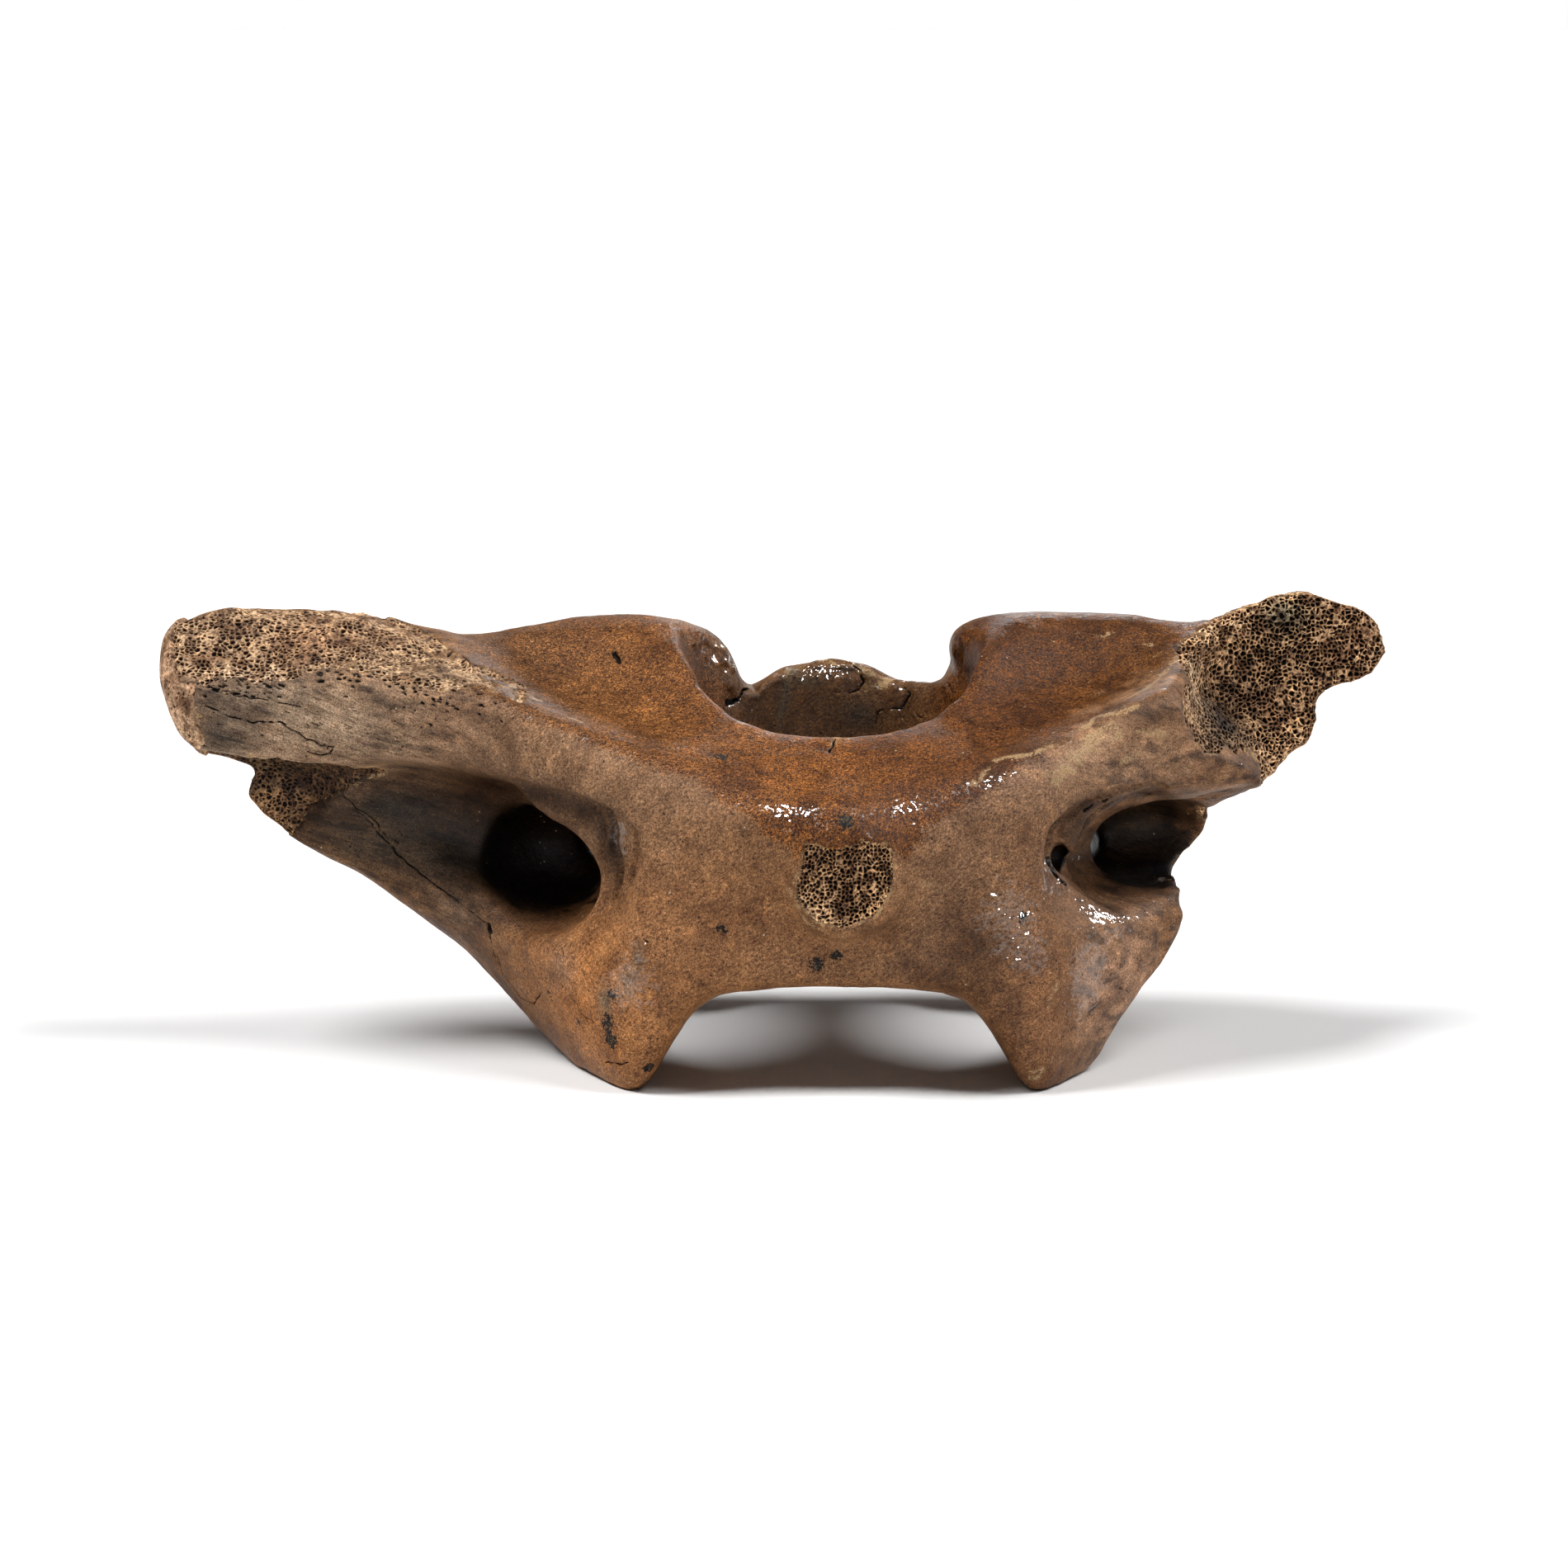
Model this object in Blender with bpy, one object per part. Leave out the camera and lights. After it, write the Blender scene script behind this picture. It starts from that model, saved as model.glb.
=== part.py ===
"""Fossil neck vertebra of a bison: the first one, the atlas, with both wings broken.

The bone stands on its two front joint cups, with its rear end up and its belly
side towards -Y.  It is one solid piece: a thick lower arch, a thin upper arch
round the nerve canal, two rear joint facets, two wings with a deep pocket under
each, and open honeycomb bone where the wings, the belly knob and the upper arch
have broken off.  Figures below are in millimetres; the mesh is in metres.
"""
import math

import bpy
import bmesh
import numpy as np
from mathutils import Vector, noise

MM = 0.001

# Driving sizes
LENGTH_STEP = 2.0        # spacing of the cross sections along the bone
SAMPLES_PER_CONTROL = 4  # points drawn between two control points of a section
BODY_VOXEL = 1.4
FINE_VOXEL = 1.15
TRIANGLES = 9800
FOOT_WEAR = 0.5          # how much of the foot tips is worn flat

# Cross sections of the unbroken bone in the YZ plane, one row per station along X.
# Each row goes round the section: lower front, up the belly side to the ridge,
# over the rear face, down the back and along the underside.
MIDDLE = [
    (0, (-42, 20), (-44, 27), (-46, 35), (-49, 43), (-51, 48), (-48, 52.5), (-36, 58.5), (-24, 63),
     (0, 70), (30, 74), (37, 66), (39, 42), (36, 16), (30, 10), (0, 18)),
    (14, (-42, 19.5), (-43, 27), (-44, 36), (-46.3, 44.5), (-47, 50), (-43.8, 54.6), (-33, 60), (-22, 64),
     (0, 72), (29, 76), (37, 66), (38.5, 42), (35, 15), (29, 9), (0, 17)),
    (25, (-40, 16.5), (-42, 25), (-42.5, 36), (-43.2, 46), (-43, 53), (-39.3, 58.3), (-28, 62), (-13, 67.5),
     (2, 77), (23, 78.5), (33, 68), (36, 42), (33, 12), (27, 5), (0, 11)),
    (36, (-39.3, -1), (-42.5, 12), (-41.5, 31), (-39.8, 46), (-38.5, 57), (-34.6, 62.3), (-22, 64), (-5, 68.5),
     (9, 76.5), (23, 79.3), (33, 70), (36.5, 44), (35.5, 10), (29, -1), (-5, -1)),
    (46, (-21, -1), (-32, 10), (-34.5, 27), (-33.8, 46), (-32.5, 60.5), (-28.8, 65.4), (-17, 65.5), (-1, 69),
     (11, 76), (23, 79.3), (31, 71), (34, 44), (31, 9), (22, -1), (0, -1.5)),
]
LEFT_WING = [
    (-57, (-6, 6), (-17, 14), (-22, 29), (-24, 53), (-26, 64.5), (-23.5, 69), (-11, 69), (3, 72),
     (11, 76), (19, 77.8), (26, 70), (25, 45), (18, 19), (10, 9), (2, 6)),
    (-68, (0, 17), (-8, 22), (-12, 35), (-16, 54), (-20.5, 67.5), (-18, 72), (-8, 73), (2, 75),
     (9, 76.2), (15, 76), (20, 70), (17, 47), (13, 29), (8, 19), (4, 16.5)),
    (-79, (2, 24.5), (-3, 28.5), (-2, 40), (-13, 53), (-17, 69), (-15, 72.5), (-6, 74.5), (2, 76.8),
     (8, 77.8), (13, 77.6), (17.5, 71), (14.5, 50), (12, 35), (8, 27.5), (5, 24.5)),
    (-88, (3, 31), (-1, 34.5), (1, 43), (-10, 52), (-14.5, 69), (-13, 72.5), (-5, 77), (3, 80.5),
     (9, 82), (12.5, 80.6), (16, 72), (13, 54), (11, 44), (8, 34.5), (5, 31)),
    (-105, (4, 39), (0, 40.6), (-1, 46.5), (-8, 54), (-11, 68), (-9.5, 72), (-3, 77.5), (3, 81.5),
     (7, 83), (11, 81.5), (14, 73), (12, 60), (10, 51), (8, 43), (6, 39)),
    (-112, (3, 44), (0, 45), (-1, 48), (-8, 54.5), (-10.5, 68), (-9, 72), (-3, 77), (3, 81),
     (7, 82.3), (11, 80.7), (12.5, 73), (11, 61), (9, 53), (7, 46), (5, 44)),
    (-118, (-2, 53.5), (-5.5, 53.5), (-8, 55), (-9, 60), (-9.5, 68), (-8.5, 71.5), (-4, 77), (1, 81.2),
     (5, 81.7), (9, 80.2), (11, 73), (9.5, 64), (7, 57.5), (4, 54.5), (0, 53.5)),
    (-122.5, (-2, 62), (-5, 62), (-7, 63), (-8, 66), (-8, 70), (-7, 73), (-3, 77), (1, 79.9),
     (4, 80.9), (7, 79.4), (8.5, 73), (7.5, 68), (6, 64.5), (3, 62.5), (0, 62)),
    (-125.6, (-1, 69), (-2.5, 69), (-3.5, 70), (-4, 71), (-4, 73), (-3.5, 75), (-2, 77), (0, 78),
     (1.5, 78.5), (3, 78), (4, 75), (4, 72), (3, 70), (2, 69.2), (0.5, 69)),
]
RIGHT_WING = [
    (57, (-6, 3.5), (-17, 13), (-22, 29), (-24, 52), (-27, 66), (-24.5, 70.5), (-11, 70), (3, 73.5),
     (11, 78), (19, 79.8), (26, 71), (25, 45), (18, 18), (10, 7), (2, 3.5)),
    (68, (0, 15.5), (-8, 21), (-12, 35), (-16, 51), (-22, 70), (-19.5, 74.5), (-8, 74.5), (2, 76.5),
     (9, 77.9), (15, 78.6), (20, 72), (17, 47), (13, 28), (8, 18), (4, 15.5)),
    (79, (2, 25.5), (-3, 29), (-3, 40), (-10, 51), (-17, 71), (-15, 75), (-6, 77.5), (2, 79.7),
     (8, 81.6), (14, 82.1), (18.5, 74), (15, 52), (12, 36), (8, 28), (5, 25.5)),
    (88, (3, 33), (-1, 36), (-1, 44), (-9, 54), (-14, 71), (-12, 75), (-5, 80), (3, 84),
     (8, 85.3), (14, 85.3), (18, 77), (15, 58), (12, 46), (8, 37), (5, 33)),
    (98, (4, 46), (1, 48), (-2, 52), (-7, 58), (-10, 68), (-9, 72), (-3, 77), (3, 81),
     (8, 82), (13, 81.8), (17, 76), (14, 66), (11, 56), (9, 49), (6, 46)),
    (105, (2, 66), (0, 67), (-1, 69), (-2, 71), (-2, 73), (-1, 75), (1, 77), (4, 79),
     (8, 79.5), (12, 79), (14, 76), (13, 72), (11, 69), (8, 67), (5, 66)),
]

# Where the edges are worn round: a centre and its reach along X, Y and Z
POCKET_RIMS = [((-46, -34, 43), (20, 16, 24)), ((-66, -18, 43), (20, 14, 22)), ((47, -33, 43), (18, 14, 22)),
               ((62, -20, 43), (18, 12, 20))]
RIDGE = [((0, -50, 50), (22, 14, 14)), ((-25, -42, 54), (22, 14, 14)), ((25, -42, 54), (22, 14, 14)),
         ((-46, -32, 60), (22, 14, 14)), ((46, -32, 60), (22, 14, 14)), ((-70, -20, 66), (24, 12, 12))]


def clear_scene():
    """Start from an empty scene."""
    for ob in list(bpy.data.objects):
        bpy.data.objects.remove(ob, do_unlink=True)


def new_object(name, verts, faces):
    """Mesh object from millimetre points, with its faces turned outward."""
    bm = bmesh.new()
    made = [bm.verts.new(Vector(v) * MM) for v in verts]
    for face in faces:
        bm.faces.new([made[i] for i in face])
    bmesh.ops.recalc_face_normals(bm, faces=bm.faces)
    mesh = bpy.data.meshes.new(name)
    bm.to_mesh(mesh)
    bm.free()
    ob = bpy.data.objects.new(name, mesh)
    bpy.context.collection.objects.link(ob)
    return ob


def curve_through(knots, values, at):
    """Smooth curve through values given at rising knots, read at the places asked for."""
    knots = np.asarray(knots, float)
    values = np.asarray(values, float)
    slopes = np.empty_like(values)
    slopes[1:-1] = (values[2:] - values[:-2]) / (knots[2:] - knots[:-2])[:, None]
    slopes[0] = (values[1] - values[0]) / (knots[1] - knots[0])
    slopes[-1] = (values[-1] - values[-2]) / (knots[-1] - knots[-2])
    i = np.clip(np.searchsorted(knots, at, side="right") - 1, 0, len(knots) - 2)
    h = (knots[i + 1] - knots[i])[:, None]
    t = ((at - knots[i])[:, None]) / h
    return ((2 * t**3 - 3 * t**2 + 1) * values[i] + (t**3 - 2 * t**2 + t) * h * slopes[i]
            + (-2 * t**3 + 3 * t**2) * values[i + 1] + (t**3 - t**2) * h * slopes[i + 1])


def closed_ring(controls):
    """Evenly many points between each two neighbours of a closed loop of controls."""
    pts = np.asarray(controls, float)
    wrapped = np.vstack([pts[-2:], pts, pts[:3]])
    gaps = np.sqrt(np.linalg.norm(np.diff(wrapped, axis=0), axis=1))
    knots = np.concatenate([[0.0], np.cumsum(gaps)])
    at = []
    for k in range(2, 2 + len(pts)):
        at.extend(np.linspace(knots[k], knots[k + 1], SAMPLES_PER_CONTROL, endpoint=False))
    return curve_through(knots, wrapped, np.array(at))


def skin_rings(name, rings):
    """Close a row of equally long rings into one solid."""
    count = len(rings[0])
    verts = [tuple(p) for ring in rings for p in ring]
    faces = []
    for k in range(len(rings) - 1):
        low, high = k * count, (k + 1) * count
        for i in range(count):
            j = (i + 1) % count
            faces.append((low + i, low + j, high + j, high + i))
    faces.append(tuple(range(count)))
    faces.append(tuple(range((len(rings) - 1) * count, len(rings) * count)))
    return new_object(name, verts, faces)


def bone_blank():
    """The unbroken outside of the bone, skinned over its cross sections."""
    rows = [(-x, controls) for x, *controls in MIDDLE[:0:-1]]
    rows = [(x, controls) for x, *controls in LEFT_WING[::-1]] + rows
    rows += [(x, controls) for x, *controls in MIDDLE]
    rows += [(x, controls) for x, *controls in RIGHT_WING]
    stations = [x for x, _ in rows]
    table = np.array([np.ravel(c) for _, c in rows], float)
    steps = int((stations[-1] - stations[0]) / LENGTH_STEP)
    xs = np.linspace(stations[0], stations[-1], steps + 1)
    smooth = curve_through(stations, table, xs)
    rings = []
    for x, row in zip(xs, smooth):
        ring = closed_ring(row.reshape(-1, 2))
        rings.append([(x, y, z) for y, z in ring])
    return skin_rings("vertebra", rings)


def ellipsoid(name, centre, radii, turn=(0, 0, 0)):
    """Egg shape with its own axes turned by Euler degrees."""
    bpy.ops.mesh.primitive_uv_sphere_add(segments=40, ring_count=24, radius=1.0)
    ob = bpy.context.object
    ob.name = name
    ob.scale = Vector(radii) * MM
    ob.rotation_euler = [math.radians(a) for a in turn]
    ob.location = Vector(centre) * MM
    bpy.ops.object.transform_apply(location=True, rotation=True, scale=True)
    return ob


def tube(name, path, radii, sides=20):
    """Round bar along a path of points with a radius at each."""
    path = np.asarray(path, float)
    knots = np.arange(len(path), dtype=float)
    at = np.linspace(0, len(path) - 1, 6 * (len(path) - 1) + 1)
    middle = curve_through(knots, path, at)
    widths = curve_through(knots, np.asarray(radii, float)[:, None], at)[:, 0]
    ahead = np.gradient(middle, axis=0)
    side = Vector((0.31, 0.17, 0.93))
    rings = []
    for centre, way, radius in zip(middle, ahead, widths):
        way = Vector(way).normalized()
        across = (side - way * side.dot(way)).normalized()
        up = way.cross(across)
        ring = []
        for k in range(sides):
            a = 2 * math.pi * k / sides
            ring.append(Vector(centre) + across * (radius * math.cos(a)) + up * (radius * math.sin(a)))
        rings.append(ring)
    return skin_rings(name, rings)


def canal_cutter():
    """Nerve canal, widest at the rear end and opening into the cups below."""
    rings = []
    for z, half_x, front, back in [(-12, 20, -22, 28), (8, 22, -24, 30), (24, 23.5, -25, 32), (44, 24, -24, 31),
                                   (58, 25.5, -23.5, 30), (66, 26.5, -22, 30), (76, 27.5, -16, 30), (96, 30, -10, 32)]:
        ring = []
        for k in range(48):
            a = 2 * math.pi * k / 48
            s, c = math.sin(a), math.cos(a)
            y = (front + back) / 2 + (back - front) / 2 * math.copysign(abs(s) ** 0.92, s)
            ring.append((half_x * math.copysign(abs(c) ** 0.92, c), y, z))
        rings.append(ring)
    return skin_rings("canal", rings)


def broken_face(name, rows, push, rough, seed, fine=28):
    """Solid behind a rough broken surface, used to cut the bone along that surface.

    The surface goes through a small grid of control points and is roughened
    with noise; the solid reaches from it along the push direction.
    """
    grid = np.asarray(rows, float)
    m, n = grid.shape[:2]
    across = curve_through(np.arange(n), grid.transpose(1, 0, 2).reshape(n, -1), np.linspace(0, n - 1, fine))
    across = across.reshape(fine, m, 3).transpose(1, 0, 2)
    dense = curve_through(np.arange(m), across.reshape(m, -1), np.linspace(0, m - 1, fine)).reshape(fine, fine, 3)
    push = Vector(push)
    unit = push.normalized()
    near, far = [], []
    for p in dense.reshape(-1, 3):
        p = Vector(p)
        lump = noise.noise(p * 0.13 + Vector((seed, 0, 0))) + 0.6 * noise.noise(p * 0.37 + Vector((0, seed, 0)))
        p = p + unit * (rough * lump)
        near.append(p)
        far.append(p + push)
    verts = near + far
    total = fine * fine
    faces = []
    for i in range(fine - 1):
        for j in range(fine - 1):
            a = i * fine + j
            quad = (a, a + 1, a + fine + 1, a + fine)
            faces.append(quad)
            faces.append(tuple(total + q for q in quad))
    border = ([j for j in range(fine - 1)] + [i * fine + fine - 1 for i in range(fine - 1)]
              + [total - 1 - j for j in range(fine - 1)] + [(fine - 1 - i) * fine for i in range(fine - 1)])
    for a, b in zip(border, border[1:] + border[:1]):
        faces.append((a, b, total + b, total + a))
    return new_object(name, verts, faces)


def apply_boolean(bone, tools, operation):
    """Join tool solids to the bone or cut them out of it, then remove them."""
    for tool in tools:
        tool.hide_render = True
        tool.display_type = "WIRE"
        mod = bone.modifiers.new(tool.name, "BOOLEAN")
        mod.operation = operation
        mod.solver = "EXACT"
        mod.object = tool
        bpy.context.view_layer.objects.active = bone
        bpy.ops.object.modifier_apply(modifier=mod.name)
        bpy.data.objects.remove(tool, do_unlink=True)


def apply_modifier(bone, kind, **settings):
    """Add one modifier with these settings and apply it."""
    mod = bone.modifiers.new(kind.lower(), kind)
    for key, value in settings.items():
        setattr(mod, key, value)
    bpy.context.view_layer.objects.active = bone
    bpy.ops.object.modifier_apply(modifier=mod.name)


def soften(bone, spots, rounds):
    """Round the bone over inside egg-shaped spots, each a centre and three reaches."""
    group = bone.vertex_groups.new(name="soft spots")
    points = np.array([v.co for v in bone.data.vertices]) / MM
    weight = np.zeros(len(points))
    for centre, reach in spots:
        far = np.linalg.norm((points - np.array(centre, float)) / np.array(reach, float), axis=1)
        weight = np.maximum(weight, np.clip(2 - 2 * far, 0, 1))
    for i in np.flatnonzero(weight > 0):
        group.add([int(i)], float(weight[i]), "REPLACE")
    apply_modifier(bone, "SMOOTH", factor=0.5, iterations=rounds, vertex_group=group.name)
    bone.vertex_groups.clear()


def shape_body(bone):
    """Add the knobs, then carve the canal, the cups, the pockets and the holes; soften it all."""
    knob = ellipsoid("belly knob", (1.6, -40, 41.2), (12, 17, 12.4))
    root = ellipsoid("knob root", (1, -42, 50), (11, 8, 7))
    upper = ellipsoid("upper knob", (-1, 35.5, 44), (17, 6.5, 22))
    apply_boolean(bone, [knob, root, upper], "UNION")
    apply_modifier(bone, "REMESH", mode="VOXEL", voxel_size=BODY_VOXEL * MM)
    apply_modifier(bone, "SMOOTH", factor=0.5, iterations=16)
    hollows = [canal_cutter()]
    for side in (-1, 1):
        hollows.append(ellipsoid("cup", (side * 26, -0.5, -6), (20.5, 33.5, 29)))
        hollows.append(ellipsoid("upper dent", (side * 45, 41, 37), (12, 9, 10)))
        hollows.append(tube("canal side hole", [(side * 20, 12, 30), (side * 32, 24, 31), (side * 43, 42, 34)],
                            [3.4, 3.0, 3.4]))
    hollows.append(ellipsoid("left pocket funnel", (-49, -37, 38.7), (15, 9, 17.5), (0, 8, -28)))
    hollows.append(ellipsoid("left pocket mouth", (-55, -21, 37), (14.5, 16, 11.3), (0, 8, 0)))
    hollows.append(ellipsoid("left pocket", (-53.5, -6, 37.2), (12, 17, 9.3), (0, 8, 0)))
    hollows.append(ellipsoid("left hollow", (-73, -17, 44), (27, 17, 12), (0, 12, 0)))
    hollows.append(tube("left wing hole", [(-48, -5, 39), (-43.5, 12, 38.5), (-39, 44, 39)], [5, 4.5, 5]))
    hollows.append(ellipsoid("right pocket funnel", (52, -34, 41.5), (16.5, 8, 14.5), (0, -8, 28)))
    hollows.append(ellipsoid("right pocket mouth", (58, -23, 41), (16.5, 15, 10.5), (0, -8, 0)))
    hollows.append(ellipsoid("right pocket", (60, -6, 40.2), (13, 17, 8.2), (0, -4, 0)))
    hollows.append(ellipsoid("right hollow", (76, -18, 43.5), (22, 16, 9), (0, -8, 0)))
    hollows.append(tube("right wing hole", [(47.5, -4, 39.6), (47, 15, 36.3), (46.5, 44, 31.2)], [4, 3.4, 4]))
    apply_boolean(bone, hollows, "DIFFERENCE")
    apply_modifier(bone, "REMESH", mode="VOXEL", voxel_size=BODY_VOXEL * MM)
    apply_modifier(bone, "SMOOTH", factor=0.5, iterations=8)
    soften(bone, POCKET_RIMS, 45)
    soften(bone, RIDGE, 14)
    slots = []
    for x, z in ((40, 42), (43, 38.5)):
        slots.append(ellipsoid("vessel slot", (x, -30, z), (1.5, 7, 3.2), (0, -12, 0)))
    apply_boolean(bone, slots, "DIFFERENCE")


def break_bone(bone):
    """Cut away what has broken off and leave rough faces there."""
    right = broken_face("right wing break", [
        [(76, 14, 104), (71, 7, 94), (63, -1, 90), (58, -14, 84), (58, -32, 70), (61, -34, 60), (70, -30, 52),
         (78, -28, 42)],
        [(82, 18, 92), (77, 11, 82), (69, 3, 78), (64.5, -8, 73), (65, -17, 66.5), (68, -16, 60.5),
         (76, -11, 55.5), (83, -8, 46)],
        [(90, 14, 96), (86, 10, 84), (78, 9, 77), (73, 8, 71), (72, 5, 66), (75, 3, 62), (80, 2, 58), (86, 0, 46)],
        [(104, 12, 98), (100, 10, 86), (94, 9.5, 78), (88, 9, 70), (84, 8, 65), (84, 6, 61), (85, 4, 57.5),
         (90, 2, 46)],
        [(128, 14, 98), (124, 12, 88), (116, 11, 78), (108, 10, 70), (102, 9, 64), (98, 8, 59), (96, 6, 55),
         (98, 4, 46)],
    ], (20, -60, 12), 1.1, 3.1, 40)
    edge = [(128, 80), (107.5, 72.5), (99.5, 66.8), (91.8, 65), (89.3, 60), (86.3, 55), (80.5, 51), (75, 49),
            (71.3, 46.5), (68.8, 40), (63, 31), (64, 24), (58, 16.5), (52.5, 10), (48, 3), (42, -6)]
    outline = broken_face("right wing edge", [
        [(x, -60, z) for x, z in edge],
        [(x, -6, z) for x, z in edge],
        [(x - 0.5, 12, z) for x, z in edge],
        [(x - 1, 60, z) for x, z in edge],
    ], (60, 0, -60), 0.9, 7.7, 56)
    edge = [(-134, 62), (-124, 56.3), (-118.5, 55), (-111.5, 53.6), (-108.6, 51.2), (-110.5, 47.6), (-108, 43.8),
            (-104.3, 41), (-99.8, 38.2), (-91.8, 31.8), (-84.5, 21)]
    left = broken_face("left wing edge", [
        [(x, -60, z) for x, z in edge],
        [(x, 0, z) for x, z in edge],
        [(x, 60, z) for x, z in edge],
    ], (-40, 0, -60), 0.6, 4.4, 48)
    knob = broken_face("belly knob break", [
        [(-40, -54, 20), (0, -54, 20), (40, -54, 20)],
        [(-40, -52, 31), (0, -50.5, 31), (40, -52, 31)],
        [(-40, -51, 41), (0, -50, 41), (40, -51, 41)],
        [(-40, -52, 49.5), (0, -50.8, 49.5), (40, -52, 49.5)],
        [(-40, -60, 56), (0, -58, 56), (40, -60, 56)],
        [(-40, -70, 66), (0, -70, 66), (40, -70, 66)],
    ], (0, -30, 0), 0.6, 1.9)
    rim = [(-44, 88), (-34, 82), (-27, 78), (-22, 74), (-19, 69.5), (-16.3, 63), (-13, 65), (-8, 67.3),
           (0, 68.7), (8, 66.5), (12.5, 64.8), (17, 63), (20.5, 63.5), (22.3, 70), (25, 75.5), (33, 82), (44, 88)]
    arch = broken_face("arch break", [
        [(x, 12, z) for x, z in rim],
        [(x, 30, z) for x, z in rim],
        [(x, 60, z - 2) for x, z in rim],
    ], (0, 0, 50), 0.7, 5.3, 56)
    plate = broken_face("left wing scar", [
        [(-126, -3, 60), (-108, -3, 57), (-96, -5, 56), (-84, -14, 55)],
        [(-126, 1, 53), (-108, 1.5, 52), (-97, 2, 51), (-87, -8, 50)],
        [(-126, 0, 46), (-107, 1.5, 45), (-98, 2.5, 44), (-90, -8, 42)],
        [(-126, -4, 36), (-106, -2, 37), (-99, -2, 36), (-92, -10, 34)],
    ], (0, -30, -6), 0.7, 2.3)
    apply_boolean(bone, [right, outline, left, knob, arch, plate], "DIFFERENCE")


def weather(bone):
    """Slow swellings and small lumps over the bone, stronger on the worn end of the left wing."""
    outward = [vertex.normal.copy() for vertex in bone.data.vertices]
    for vertex, normal in zip(bone.data.vertices, outward):
        p = vertex.co / MM
        lift = 0.4 * noise.noise(p * 0.045) + 0.16 * noise.noise(p * 0.15)
        worn = min(max((-66 - p.x) / 6, 0.0), 1.0) * min(max((normal.z - 0.2) / 0.4, 0.0), 1.0)
        lift += worn * 0.9 * noise.noise(p * 0.21 + Vector((7, 0, 3)))
        vertex.co += normal * (lift * MM)


def finish(bone):
    """Even out the mesh, weather it, thin it and wear the feet flat on the floor."""
    apply_modifier(bone, "REMESH", mode="VOXEL", voxel_size=FINE_VOXEL * MM)
    apply_modifier(bone, "SMOOTH", factor=0.5, iterations=2)
    weather(bone)
    count = sum(len(p.vertices) - 2 for p in bone.data.polygons)
    apply_modifier(bone, "DECIMATE", ratio=TRIANGLES / count)
    bpy.ops.mesh.primitive_cube_add(size=0.4, location=(0, 0, (FOOT_WEAR - 200) * MM))
    floor = bpy.context.object
    floor.name = "floor cut"
    apply_boolean(bone, [floor], "DIFFERENCE")
    apply_modifier(bone, "TRIANGULATE")


def put_on_floor(bone):
    """Move the mesh so that the origin is the middle of its footprint; say how far it moved."""
    points = np.array([v.co for v in bone.data.vertices])
    low, high = points.min(axis=0), points.max(axis=0)
    shift = Vector((-(low[0] + high[0]) / 2, -(low[1] + high[1]) / 2, -low[2]))
    for vertex in bone.data.vertices:
        vertex.co += shift
    return shift


def bone_material(bone):
    """Brown lacquered fossil bone."""
    mat = bpy.data.materials.new("fossil bone")
    mat.use_nodes = True
    shader = mat.node_tree.nodes["Principled BSDF"]
    shader.inputs["Base Color"].default_value = (0.16, 0.085, 0.042, 1.0)
    shader.inputs["Roughness"].default_value = 0.45
    shader.inputs["Metallic"].default_value = 0.0
    bone.data.materials.clear()
    bone.data.materials.append(mat)


clear_scene()
vertebra = bone_blank()
shape_body(vertebra)
break_bone(vertebra)
finish(vertebra)
shift = put_on_floor(vertebra)
bone_material(vertebra)
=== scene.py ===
"""Looks of the fossil bison neck vertebra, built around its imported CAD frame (metres, +Z up)."""
import math

import bmesh
import bpy
import numpy as np
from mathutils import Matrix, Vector
from mathutils.bvhtree import BVHTree


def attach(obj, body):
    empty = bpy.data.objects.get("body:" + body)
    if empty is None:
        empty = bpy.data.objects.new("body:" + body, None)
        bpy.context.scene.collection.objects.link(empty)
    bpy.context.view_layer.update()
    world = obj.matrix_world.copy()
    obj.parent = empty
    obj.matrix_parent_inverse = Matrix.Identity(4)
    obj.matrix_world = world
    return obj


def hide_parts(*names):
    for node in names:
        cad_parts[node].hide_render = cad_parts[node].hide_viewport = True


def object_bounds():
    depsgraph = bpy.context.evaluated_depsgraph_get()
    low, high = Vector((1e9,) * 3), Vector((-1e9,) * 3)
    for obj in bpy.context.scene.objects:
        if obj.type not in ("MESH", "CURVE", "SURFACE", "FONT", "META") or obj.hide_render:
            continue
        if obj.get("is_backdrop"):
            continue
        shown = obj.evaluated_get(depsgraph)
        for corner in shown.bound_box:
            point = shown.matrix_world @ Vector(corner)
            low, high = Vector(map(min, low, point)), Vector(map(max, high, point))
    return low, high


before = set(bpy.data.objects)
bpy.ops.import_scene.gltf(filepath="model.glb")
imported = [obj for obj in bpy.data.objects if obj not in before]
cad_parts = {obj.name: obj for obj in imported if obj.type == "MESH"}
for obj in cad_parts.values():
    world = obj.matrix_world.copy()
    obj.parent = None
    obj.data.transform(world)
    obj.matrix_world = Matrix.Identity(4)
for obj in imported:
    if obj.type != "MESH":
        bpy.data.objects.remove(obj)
cad_low, cad_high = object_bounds()

# The camera
# A long lens a little above the bone, at the height and distance that the photograph was taken from.
# Places on the bone are worked out in millimetres, and MM turns them into the metres of the frame.
MM = 0.001
CAMERA_PLACE = (1.14 * MM, -795.25 * MM, 190.3 * MM)
CAMERA_TILT = math.radians(80)
LENS = 100                    # mm
SENSOR = 36                   # mm
SEES_TO = 100                 # metres

camera_data = bpy.data.cameras.new("camera")
camera_data.lens = LENS
camera_data.sensor_width = SENSOR
camera_data.clip_end = SEES_TO
camera = bpy.data.objects.new("camera", camera_data)
camera.location = CAMERA_PLACE
camera.rotation_euler = (CAMERA_TILT, 0, 0)
bpy.context.collection.objects.link(camera)
bpy.context.scene.camera = camera
bpy.context.scene.view_settings.view_transform = "Standard"

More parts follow.
